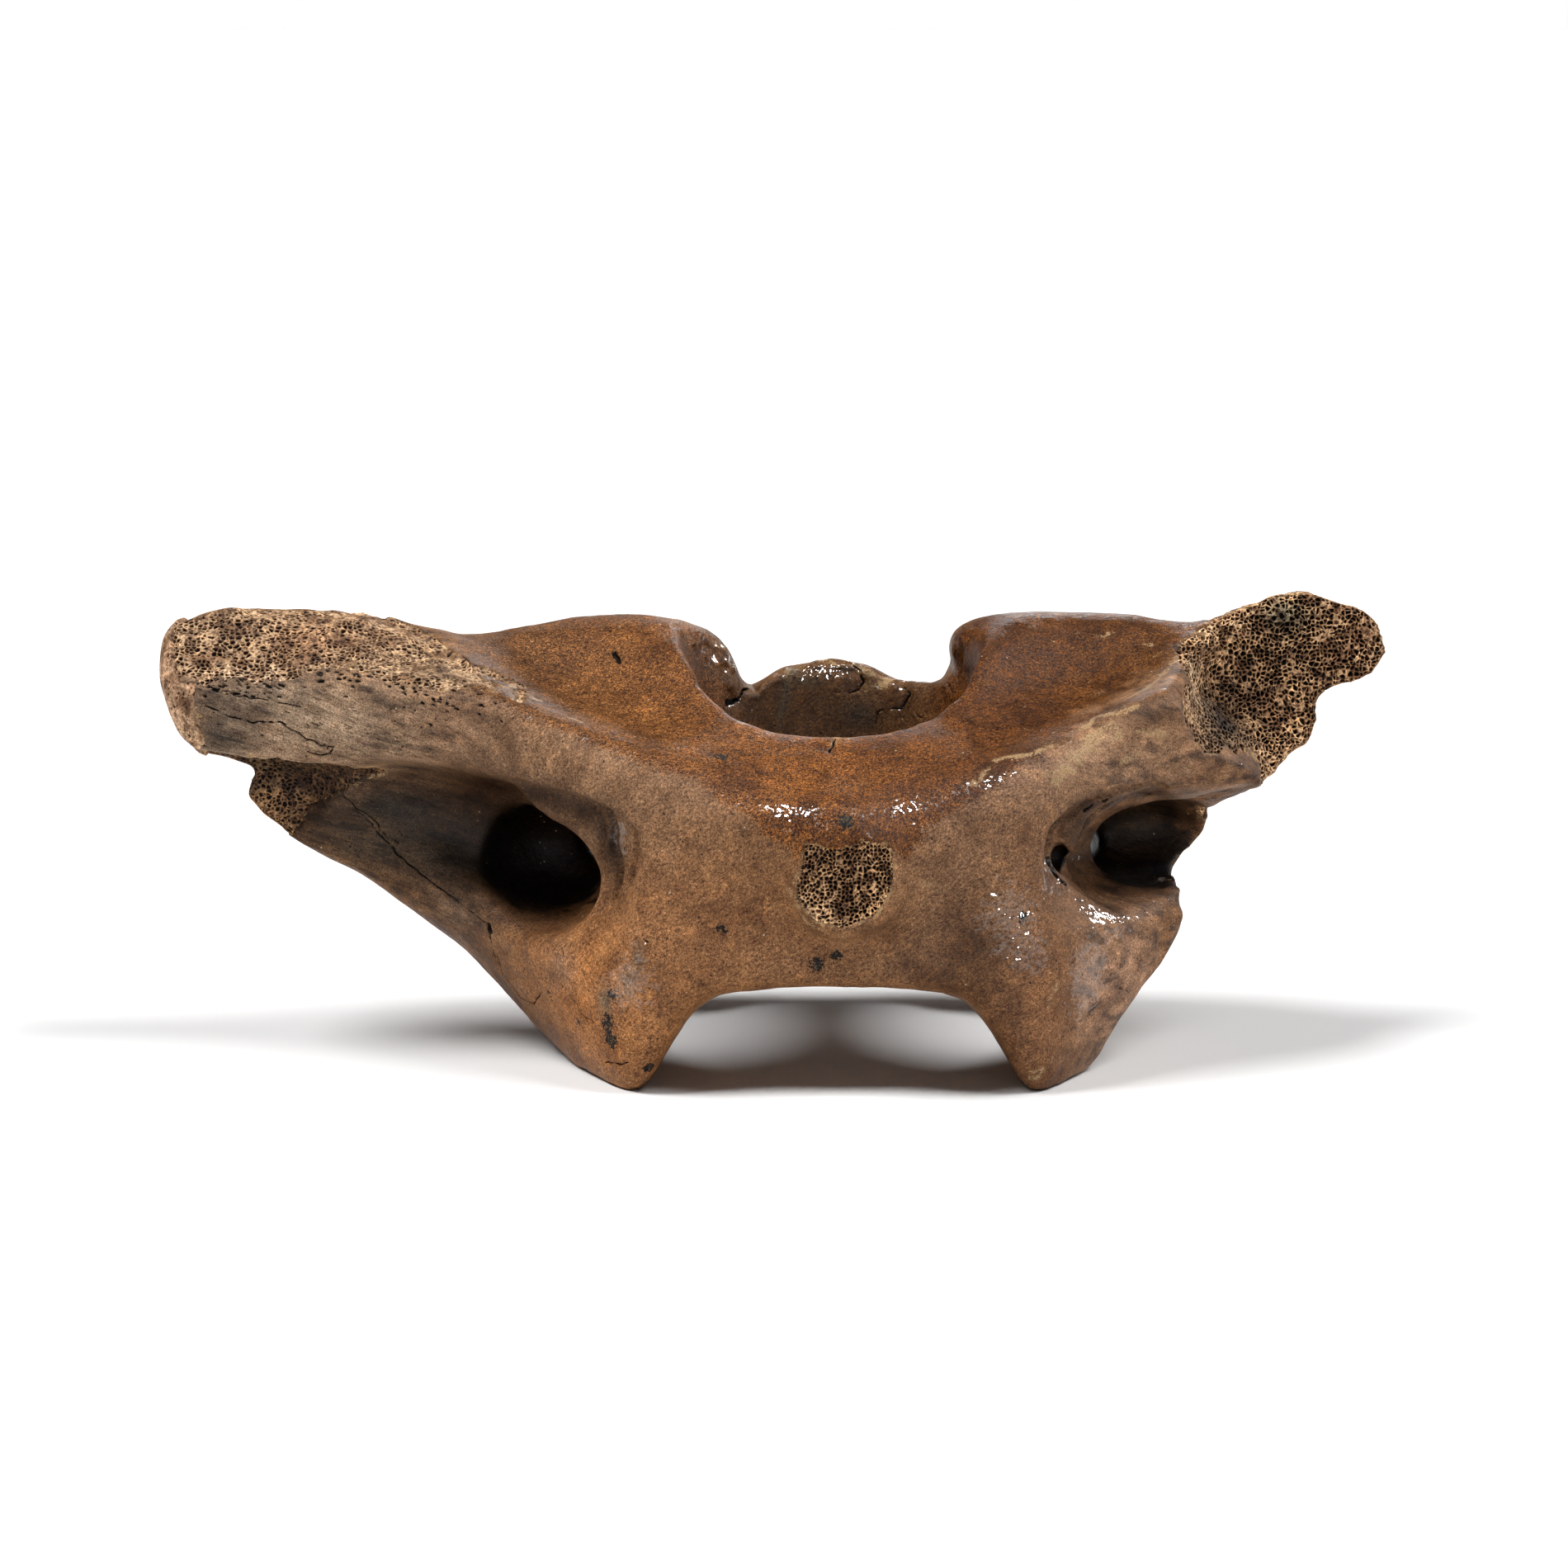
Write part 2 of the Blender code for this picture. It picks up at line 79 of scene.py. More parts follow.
# The floor
# A plain white sheet that runs far past the view on all sides. The bone stands on it with the worn
# rims of its two front joint cups.
FLOOR_HALF = 60.0             # metres
SHEET_COLOUR = (0.82, 0.82, 0.82, 1)
SHEET_ROUGHNESS = 0.9
SHEET_GLARE = 0.1

floor_mesh = bpy.data.meshes.new("floor")
floor_mesh.from_pydata([(-FLOOR_HALF, -FLOOR_HALF, 0), (FLOOR_HALF, -FLOOR_HALF, 0),
                        (FLOOR_HALF, FLOOR_HALF, 0), (-FLOOR_HALF, FLOOR_HALF, 0)], [], [(0, 1, 2, 3)])
floor = bpy.data.objects.new("floor", floor_mesh)
bpy.context.collection.objects.link(floor)
floor.data.materials.append(bpy.data.materials.new("white_sheet"))
floor.data.materials[0].use_nodes = True
sheet_shader = floor.data.materials[0].node_tree.nodes["Principled BSDF"]
sheet_shader.inputs["Base Color"].default_value = SHEET_COLOUR
sheet_shader.inputs["Roughness"].default_value = SHEET_ROUGHNESS
sheet_shader.inputs["Specular IOR Level"].default_value = SHEET_GLARE
floor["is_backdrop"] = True

# The light
# Two wide soft lights high on the left and right, small boxes that only make the glints,
# and a dim room whose horizon is white.
WHITE_UP_TO = 0.012           # height of the white horizon, as a share of the sky
DIM_FROM = 0.05               # height at which the room is dim
ROOM_COLOUR = (0.09, 0.09, 0.09, 1)
AIM = Vector((0, 0, 0.05))    # the middle of the bone, in metres
SKY_WIDTH = math.radians(24)
SKIES = (
    # name, way that it comes from, strength
    ("left_sky", (-5.0, -1.2, 8.3), 3.3),
    ("right_sky", (5.0, -1.2, 8.3), 2.4),
)
BOXES = (
    # name, place and width in metres, watts
    ("left_box", (-0.44, -0.15, 1.02), 0.24, 16.0),
    ("right_box", (0.40, -0.18, 1.04), 0.20, 13.0),
    ("front_box", (-0.25, -1.10, 0.62), 0.20, 11.0),
    ("low_box", (0.42, -1.10, 0.36), 0.22, 12.0),
    ("right_back_box", (0.84, 0.30, 0.60), 0.26, 13.0),
    ("back_box", (0.12, 1.05, 0.42), 0.14, 1.6),
)

world = bpy.data.worlds.new("studio")
bpy.context.scene.world = world
world.use_nodes = True
sky = world.node_tree
sky_place = sky.nodes.new("ShaderNodeTexCoord")
sky_split = sky.nodes.new("ShaderNodeSeparateXYZ")
sky_ramp = sky.nodes.new("ShaderNodeValToRGB")
sky.links.new(sky_place.outputs["Generated"], sky_split.inputs[0])
sky.links.new(sky_split.outputs["Z"], sky_ramp.inputs[0])
sky.links.new(sky_ramp.outputs[0], sky.nodes["Background"].inputs["Color"])
sky_ramp.color_ramp.elements[0].position = WHITE_UP_TO
sky_ramp.color_ramp.elements[0].color = (1, 1, 1, 1)
sky_ramp.color_ramp.elements[1].position = DIM_FROM
sky_ramp.color_ramp.elements[1].color = ROOM_COLOUR


def lamp(name, kind, place, size, energy):
    """A soft light at a place, or from that way for a sun, that looks at the middle of the bone."""
    data = bpy.data.lights.new(name, kind)
    data.energy = energy
    if kind == "SUN":
        data.angle = size
    else:
        data.size = size
    light = bpy.data.objects.new(name, data)
    light.location = place
    light.rotation_euler = (Vector(place) - AIM).to_track_quat("Z", "Y").to_euler()
    bpy.context.collection.objects.link(light)
    return light


for name, place, energy in SKIES:
    lamp(name, "SUN", place, SKY_WIDTH, energy).visible_glossy = False
for name, place, size, energy in BOXES:
    lamp(name, "AREA", place, size, energy).visible_diffuse = False

# The bone
# A fossil first neck bone (atlas) of a bison: heavy mineral-stained bone with a thin hard skin over
# an open sponge. It is one grown piece. Both wings, the belly knob and the foot of the left wing are
# broken, and the sponge shows there.
FINE = 0.45 * MM              # size of the squares that the fine skin is made of
ROUNDING = 2                  # times that the faceted solid is rounded before it is made fine
POLISH = 8                    # turns of smoothing that take the facets out
SAME_POINT = 0.01 * MM        # corners of the solid that are nearer than this are one


def select_only(thing):
    """Select one object and make it the active one."""
    bpy.ops.object.select_all(action="DESELECT")
    thing.select_set(True)
    bpy.context.view_layer.objects.active = thing


def apply_modifier(thing, name, kind, **settings):
    """Add a modifier, set it and apply it."""
    select_only(thing)
    modifier = thing.modifiers.new(name, kind)
    for key, value in settings.items():
        setattr(modifier, key, value)
    bpy.ops.object.modifier_apply(modifier=modifier.name)


def places(thing):
    """The points of a mesh in millimetres."""
    found = np.empty(len(thing.data.vertices) * 3)
    thing.data.vertices.foreach_get("co", found)
    return found.reshape(-1, 3) / MM


def normals(thing):
    """The outward direction at each point of a mesh."""
    found = np.empty(len(thing.data.vertices) * 3)
    thing.data.vertex_normals.foreach_get("vector", found)
    return found.reshape(-1, 3)


def move_to(thing, found):
    """Put the points of a mesh at places given in millimetres."""
    thing.data.vertices.foreach_set("co", (found * MM).ravel())
    thing.data.update()


def store(thing, name, values):
    """Keep one number for each point, for the materials to read."""
    layer = thing.data.attributes.get(name) or thing.data.attributes.new(name, "FLOAT", "POINT")
    layer.data.foreach_set("value", np.ascontiguousarray(values, dtype=np.float32))


def read(thing, name):
    """The number kept for each point."""
    found = np.empty(len(thing.data.vertices), dtype=np.float32)
    thing.data.attributes[name].data.foreach_get("value", found)
    return found.astype(float)


def scatter(cells, seed):
    """Three even random numbers from 0 to 1 for each whole-number cell."""
    grid = cells.astype(np.int64).astype(np.uint32)
    mixed = (grid[..., 0] * np.uint32(73856093)) ^ (grid[..., 1] * np.uint32(19349663)) \
        ^ (grid[..., 2] * np.uint32(83492791)) ^ np.uint32(seed * 7919 + 1)
    found = []
    for turn in range(3):
        mixed = (mixed ^ (mixed >> np.uint32(15))) * np.uint32(2246822519)
        mixed = (mixed ^ (mixed >> np.uint32(13))) * np.uint32(3266489917)
        mixed = mixed ^ (mixed >> np.uint32(16))
        found.append(mixed.astype(float) / 4294967295.0)
    return np.stack(found, axis=-1)


def waves(points, size, seed):
    """Smooth noise from -1 to 1 whose lumps are about the given size in millimetres."""
    scaled = points / size
    cell = np.floor(scaled)
    part = scaled - cell
    part = part * part * (3 - 2 * part)
    total = np.zeros(len(points))
    for corner in range(8):
        step = np.array([corner & 1, (corner >> 1) & 1, (corner >> 2) & 1])
        weight = np.prod(np.where(step, part, 1 - part), axis=1)
        total += weight * scatter(cell + step, seed)[:, 0]
    return total * 2 - 1


def rise(values, low, high):
    """A smooth step from 0 at low to 1 at high."""
    part = np.clip((values - low) / (high - low), 0, 1)
    return part * part * (3 - 2 * part)


def inside(across, up, outline):
    """How far inside an outline each point is, in millimetres, and less than 0 outside it."""
    nearest = np.full(len(across), 1e9)
    odd = np.zeros(len(across), dtype=bool)
    for (ax, ay), (bx, by) in zip(outline, outline[1:] + outline[:1]):
        length = max((bx - ax) ** 2 + (by - ay) ** 2, 1e-12)
        along = np.clip(((across - ax) * (bx - ax) + (up - ay) * (by - ay)) / length, 0, 1)
        nearest = np.minimum(nearest, np.hypot(across - ax - along * (bx - ax), up - ay - along * (by - ay)))
        crosses = ((ay > up) != (by > up)) & (across < (bx - ax) * (up - ay) / (by - ay + 1e-12) + ax)
        odd ^= crosses
    return np.where(odd, nearest, -nearest)


def to_line(points, line):
    """Distance of each point to a line of straight pieces, in mm."""
    nearest = np.full(len(points), 1e9)
    for start, end in zip(line[:-1], line[1:]):
        start, end = np.array(start), np.array(end)
        run = end - start
        along = np.clip((points - start) @ run / max(run @ run, 1e-9), 0, 1)
        nearest = np.minimum(nearest, np.linalg.norm(points - start - along[:, None] * run, axis=1))
    return nearest


def follow(values, line):
    """The second number of a line of pairs, at places given by the first."""
    return np.interp(values, [first for first, second in line], [second for first, second in line])


def lumpy(points, lumps):
    """Noise of lumps of several kinds, each with its height and length in mm and its seed."""
    return sum(height * waves(points, length, seed) for height, length, seed in lumps)


def wander(points, size, seed):
    """A smooth random shift for each point, from -1 to 1 along each axis."""
    return np.stack([waves(points, size, seed + axis) for axis in range(3)], axis=1)


def settled(thing, found):
    """Move the points of a mesh, and give its outward directions and a tree to find places on it."""
    move_to(thing, found)
    bpy.context.view_layer.update()
    return normals(thing), BVHTree.FromObject(thing, bpy.context.evaluated_depsgraph_get())


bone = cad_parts["vertebra"].copy()
bone.data = bone.data.copy()
bone.name = "bone"
bpy.context.collection.objects.link(bone)
select_only(bone)
bpy.ops.object.mode_set(mode="EDIT")
bpy.ops.mesh.select_all(action="SELECT")
bpy.ops.mesh.remove_doubles(threshold=SAME_POINT)
bpy.ops.object.mode_set(mode="OBJECT")
apply_modifier(bone, "round", "SUBSURF", levels=ROUNDING, render_levels=ROUNDING)
apply_modifier(bone, "fine", "REMESH", mode="VOXEL", voxel_size=FINE, use_smooth_shade=True)
apply_modifier(bone, "polish", "SMOOTH", factor=0.5, iterations=POLISH)

# Small pulls that bring a rim to where the real one lies: middle, reach and move, in mm.
PULLS = [
    ((-15.5, 16, 77.5), (7, 14, 6), (-0.7, 0, -1.5)),
    ((37.3, 16, 79), (5, 12, 5), (0.3, 0, -1.0)),
    ((34.5, 24, 74.6), (7, 14, 3.6), (-1.3, 0, 0)),
    ((34.0, 25, 67.2), (7, 12, 2.6), (1.7, 0, 0)),
    ((29.3, 30, 62.6), (4.5, 7, 2.2), (0, 0, 2.0)),
    ((-103, 8, 80), (7, 12, 6), (-0.2, 0, 1.5)),
    ((-68, 8, 79), (10, 12, 6), (0, 0, 0.7)),
    ((106, 14, 80), (6, 9, 5), (0.3, 0, 0.8)),
    ((94, 14, 84), (8, 9, 5), (0, 0, 0.4)),
    ((53, 14, 81), (14, 12, 6), (0, 0, 0.7)),
    ((87.3, 14, 81), (7, 9, 6), (-0.3, 0, 1.4)),
    ((105, 15, 82), (4, 8, 4), (0, 0, -0.8)),
    ((97.3, 13, 57.5), (5, 10, 5), (2.4, 0, -1.4)),
    ((99.5, 13, 62.0), (3, 8, 3), (0.8, 0, -1.0)),
    ((91.7, 8, 52.5), (3, 10, 3), (0.9, 0, -0.4)),
    ((79, 6, 38), (4, 14, 5.5), (1.9, 0, 0)),
    ((74.5, -6, 28), (4, 12, 4), (0.9, 0, 0)),
    ((66.0, -14, 67.5), (12, 8, 3.0), (0, -0.7, 0.3)),
    ((6.0, -42, 52.6), (11, 7, 3.6), (0, -1.4, 0.2)),
]
# Broken rims that are ragged: reach in mm and the points that each one follows.
RAGGED = [
    (3.0, 0.70, [(79.8, 8, 45.5), (79.3, 8.6, 43.1), (77.4, 9, 36.9), (75, 0, 35.1), (72.3, 0.9, 31.8)]),
    (2.6, 0.70, [(73.4, -9.4, 31.7), (74, -10.8, 28.9), (73, -11.8, 25.2), (70, -14, 20)]),
    (2.8, 0.60, [(77, -3, 47.5), (82.5, -3.5, 49.0), (86.1, -2.5, 49.5), (89.5, -3.5, 51.5)]),
    (3.0, 1.00, [(-18, 18, 77), (-15.2, 20.7, 74.6), (-12.0, 24.9, 71.7), (-9.9, 26.8, 68.5),
                 (-7.9, 28.3, 64.6)]),
    (2.6, 0.60, [(36, 20, 76), (34.5, 21.5, 72.5), (33.5, 23, 70), (32, 26, 66)]),
    (2.4, 0.70, [(-4.9, 31.4, 62.9), (1.1, 35.5, 66.2), (9.1, 35.5, 67.4), (17.8, 35, 66.4), (24, 33, 64.2),
                 (31.4, 35, 63.8)]),
    (4.0, 0.60, [(110.8, 13, 70.5), (108.2, 14.3, 66.5), (101.8, 13, 65.5), (99.5, 13, 61.7), (97, 12, 57.5),
                 (95.2, 9, 54.5), (91.7, 5, 52)]),
]
# Soft dents: middle, reach and depth. Flutes are shallow furrows: half width, depth and points.
DENTS = [
    ((70.3, -18.3, 55.8), (4.5, 6, 1.5), 0.55), ((75.8, -14.3, 54.1), (3.5, 6, 1.3), 0.45),
    ((80, -10, 55), (3, 6, 1.6), 0.4), ((66.5, -21, 58.5), (3.5, 5, 1.2), 0.3),
    ((84, -6, 53), (3, 6, 1.2), 0.35), ((-18, -38, 46), (2.2, 5, 5), 0.3),
    ((-9, -40, 44), (2.0, 5, 4), 0.25), ((33, -39, 47), (2.0, 5, 4), 0.25),
    ((-70, -8, 60), (9, 6, 1.6), 0.35), ((-60, -10, 66), (8, 6, 1.5), 0.3),
    ((-88, -6, 60), (8, 6, 1.5), 0.3),
]
FLUTES = [
    (0.60, 1.00, [(49.8, -31.5, 41.0), (49.4, -31.5, 44.5), (50.4, -31.0, 47.6), (54.0, -28.6, 50.6),
                  (60.5, -24.6, 52.6), (69, -17.0, 53.0)]),
    (0.55, 0.90, [(51.7, -29.8, 45.0), (52.0, -29.6, 47.9), (55.9, -27.0, 50.2), (62.1, -23.3, 51.9),
                  (70.2, -15.6, 51.6)]),
    (0.50, 0.80, [(54.6, -24, 41.5), (54.4, -25.0, 44.5), (56.5, -24.3, 47.7), (60.7, -21.5, 49.6),
                  (67.7, -12, 49.3)]),
    (0.60, 1.00, [(-31.3, -30.7, 51.0), (-29.9, -30.0, 45.6), (-29.4, -29.6, 39.6), (-31.5, -26.7, 33.7)]),
    (0.55, 0.85, [(-28.2, -33.1, 50.7), (-26.8, -33.4, 47.2), (-26.6, -33.4, 43.5), (-28.0, -31.5, 38.5)]),
    (0.50, 0.70, [(-33.5, -28.0, 50.0), (-31.8, -28.0, 46.0), (-31.6, -27.0, 41.0)]),
]
# The mouths of the two pockets have a sharp outer rim, given in x and z. Their wall steps back behind
# it by so many mm.
RIM_LEFT = [(-62.4, 55.2), (-46.6, 54.9), (-34.3, 53.4), (-27.5, 50.8), (-24.0, 47.5), (-23.6, 42.3),
            (-25.6, 36.3), (-30.5, 31.0), (-38.6, 27.4), (-47.4, 27.5), (-60, 36)]
RIM_RIGHT = [(47.4, 38), (46.7, 43.8), (48.1, 48.1), (51.9, 51.6), (59.3, 54.1), (67.8, 54.3), (74.8, 52.5),
             (80, 46), (74, 33), (60, 31), (50, 35)]
LEFT_STEP = 2.0
RIGHT_STEP = 1.4
# The bites of a ragged rim, the low waves of the whole skin, and how uneven the edge of a break is: the
# height and length of the lumps in mm, and their seed.
BITES = [(0.6, 1.5, 51), (0.7, 3.4, 52)]
SKIN_WAVES = [(0.10, 4.5, 21), (0.06, 1.7, 22)]
BREAK_EDGE = [(0.8, 3.1, 1), (0.45, 1.3, 2)]
FLUTE_DRIFT = 0.4             # mm that a flute wanders from its line

skin = places(bone)
facing = normals(bone)
wobble = 0.25 * waves(skin, 2.2, 54)
left_mouth = inside(skin[:, 0], skin[:, 2], RIM_LEFT) + wobble
right_mouth = inside(skin[:, 0], skin[:, 2], RIM_RIGHT) + wobble
sink = LEFT_STEP * rise(left_mouth, 0, 1.8) * (1 - rise(left_mouth, 4, 9)) * rise(skin[:, 0], -56, -42)
sink += RIGHT_STEP * rise(right_mouth, 0, 1.5) * (1 - rise(right_mouth, 3, 7)) * rise(skin[:, 2], 36, 41) \
    * (1 - rise(skin[:, 0], 66, 74))
sink *= rise(-facing[:, 1], -0.1, 0.2) * (skin[:, 1] < 0)
for middle, reach, depth in DENTS:
    sink += depth * np.exp(-(((skin - middle) / reach) ** 2).sum(axis=1))
skin -= facing * sink[:, None]
for middle, reach, move in PULLS:
    skin += np.array(move) * np.exp(-(((skin - middle) / reach) ** 2).sum(axis=1))[:, None]
for reach, most, line in RAGGED:
    near = 1 - rise(to_line(skin, line), reach * 0.5, reach * 1.3)
    skin += facing * (near * most * lumpy(skin, BITES))[:, None]
skin += facing * lumpy(skin, SKIN_WAVES)[:, None]
facing, tree = settled(bone, skin)


def laid(line, step=0.9):
    """The same line in short steps, laid on the surface of the bone."""
    found = []
    for start, end in zip(line[:-1], line[1:]):
        start, end = np.array(start, float), np.array(end, float)
        count = max(1, int(np.linalg.norm(end - start) / step))
        found += [start + (end - start) * index / count for index in range(count)]
    found.append(np.array(line[-1], float))
    return [np.array(tree.find_nearest(Vector(point * MM))[0]) / MM for point in found]


sink = np.zeros(len(skin))
bent = skin + FLUTE_DRIFT * wander(skin, 3.0, 61)
for half, depth, line in FLUTES:
    sink += depth * (1 - rise(to_line(bent, laid(line)), half * 0.3, half * 2.0))
skin -= facing * sink[:, None]
facing, tree = settled(bone, skin)
rough_edge = lumpy(skin, BREAK_EDGE)

# The breaks of the bone
# Old breaks, where the hard skin is gone and the sponge lies open. Each is bounded by an outline in
# millimetres, as seen from the front or from above, and the skin is sunk there to make room for the sponge.
RECESS = 3.0                  # mm that the skin sinks below the sponge of a break
RECESS_RAMP = 0.8             # mm over which it sinks
TURN = 6                      # mm by which a break narrows as its surface turns to the back
FAR = 9.0                     # mm, more than any break is deep
RIGHT_WING = [(84.7, 90), (84.7, 83.2), (80.1, 77.9), (74.9, 75.2), (73.6, 73.1), (74.9, 71.4),
              (73.8, 68.5), (73.7, 64.7), (76.3, 60.4), (77.6, 58), (82.1, 58.4), (86.3, 56.8),
              (89.7, 53.3), (89.1, 50.5), (95, 40), (130, 40), (130, 95)]
SCAR = [(-107.5, 57), (-103, 56.2), (-98, 55.6), (-92, 56), (-86, 54.6), (-79, 54), (-73.5, 53.2),
        (-72.5, 52.2), (-76.8, 51), (-80.9, 49.1), (-85.2, 46.4), (-88.5, 44.2), (-88.9, 42), (-90.7, 39.5),
        (-93.6, 38), (-106, 40), (-109, 50)]
KNOB = [(4.7, 47.8), (7.6, 46.9), (11.3, 46.4), (14.9, 48.4), (20.2, 47), (20.7, 43.4), (20, 39),
        (17.1, 34.3), (11.3, 32.1), (6.2, 33.7), (3.3, 37.4), (2.9, 40.4), (4, 43.5)]
NETWORK_LOW = [(-116, 71), (-107, 70.1), (-98, 70.2), (-88.8, 71.5), (-83.6, 72.9), (-77.4, 73.2),
               (-72.8, 72.1), (-68, 70.1), (-62.6, 69.6), (-54.5, 71), (-47, 68.8)]
NETWORK_BACK = [(-116, 19), (-98.9, 19), (-86.9, 19), (-74.5, 16.4), (-70, 15.5), (-63.5, 9.3),
                (-56.7, 0.8), (-51.3, -1.3), (-47.1, -4)]
NETWORK_RIGHT = -47
LEFT_END = [(50, -108), (55, -107.3), (58.6, -106.3), (64, -107.3), (70.1, -107), (77.5, -107.6), (84, -108)]


def right_wing_break(points, out, edge):
    """How far inside the break of the right wing each point is."""
    return np.minimum(inside(points[:, 0], points[:, 2], RIGHT_WING), (0.62 - out[:, 1]) * TURN) + edge


def scar_break(points, out, edge):
    """The same for the scar under the left wing's beam."""
    return np.minimum(inside(points[:, 0], points[:, 2], SCAR), (0.45 - out[:, 1]) * TURN) + edge * 0.8


def knob_break(points, out, edge):
    """The same for the worn belly knob."""
    return np.minimum(inside(points[:, 0], points[:, 2], KNOB), -30 - points[:, 1]) + edge * 0.35


def network_break(points, out, edge):
    """The same for the long top of the left wing."""
    above = points[:, 2] - follow(points[:, 0], NETWORK_LOW)
    before = follow(points[:, 0], NETWORK_BACK) - points[:, 1]
    short = NETWORK_RIGHT - points[:, 0]
    return np.minimum(np.minimum(above, before), np.minimum(short, (out[:, 2] + 0.1) * 8)) + edge * 1.5


def end_break(points, out, edge):
    """The same for the worn left end."""
    depth = follow(points[:, 2], LEFT_END) - points[:, 0]
    return np.minimum(depth, 70 - points[:, 2] + 14 * rise(-out[:, 0], 0.3, 0.8)) + edge * 1.3


def rim_break(points, out, edge):
    """The same for the thin broken rim of the right pocket."""
    return 1.2 - to_line(points, RAGGED[0][2]) + edge * 0.5


BREAKS = {
    "right_wing_sponge": right_wing_break,
    "left_wing_sponge": network_break,
    "scar_sponge": scar_break,
    "knob_sponge": knob_break,
    "left_end_sponge": end_break,
    "rim_sponge": rim_break,
}

depth_here = np.full(len(skin), FAR)
broken = np.full(len(skin), -FAR)
for measure in BREAKS.values():
    broken = np.maximum(broken, measure(skin, facing, rough_edge))
for index in np.nonzero(broken > -2.5)[0]:
    start = Vector((skin[index] - 0.05 * facing[index]) * MM)
    met = tree.ray_cast(start, Vector(-facing[index]))
    if met[0] is not None:
        depth_here[index] = met[3] / MM


def copy_of(thing, name):
    """A second object with its own mesh."""
    made = thing.copy()
    made.data = thing.data.copy()
    made.name = name
    bpy.context.collection.objects.link(made)
    return made


# The sponge is made later from the bone as it is now. The skin is sunk under it, and leaves the thin
# broken edge of the hard skin round each break.
unbroken = copy_of(bone, "unbroken")
move_to(bone, skin - facing * (np.minimum(RECESS, depth_here * 0.4) * rise(broken, 0, RECESS_RAMP))[:, None])
store(bone, "lip", rise(broken, -0.9, 0.0))

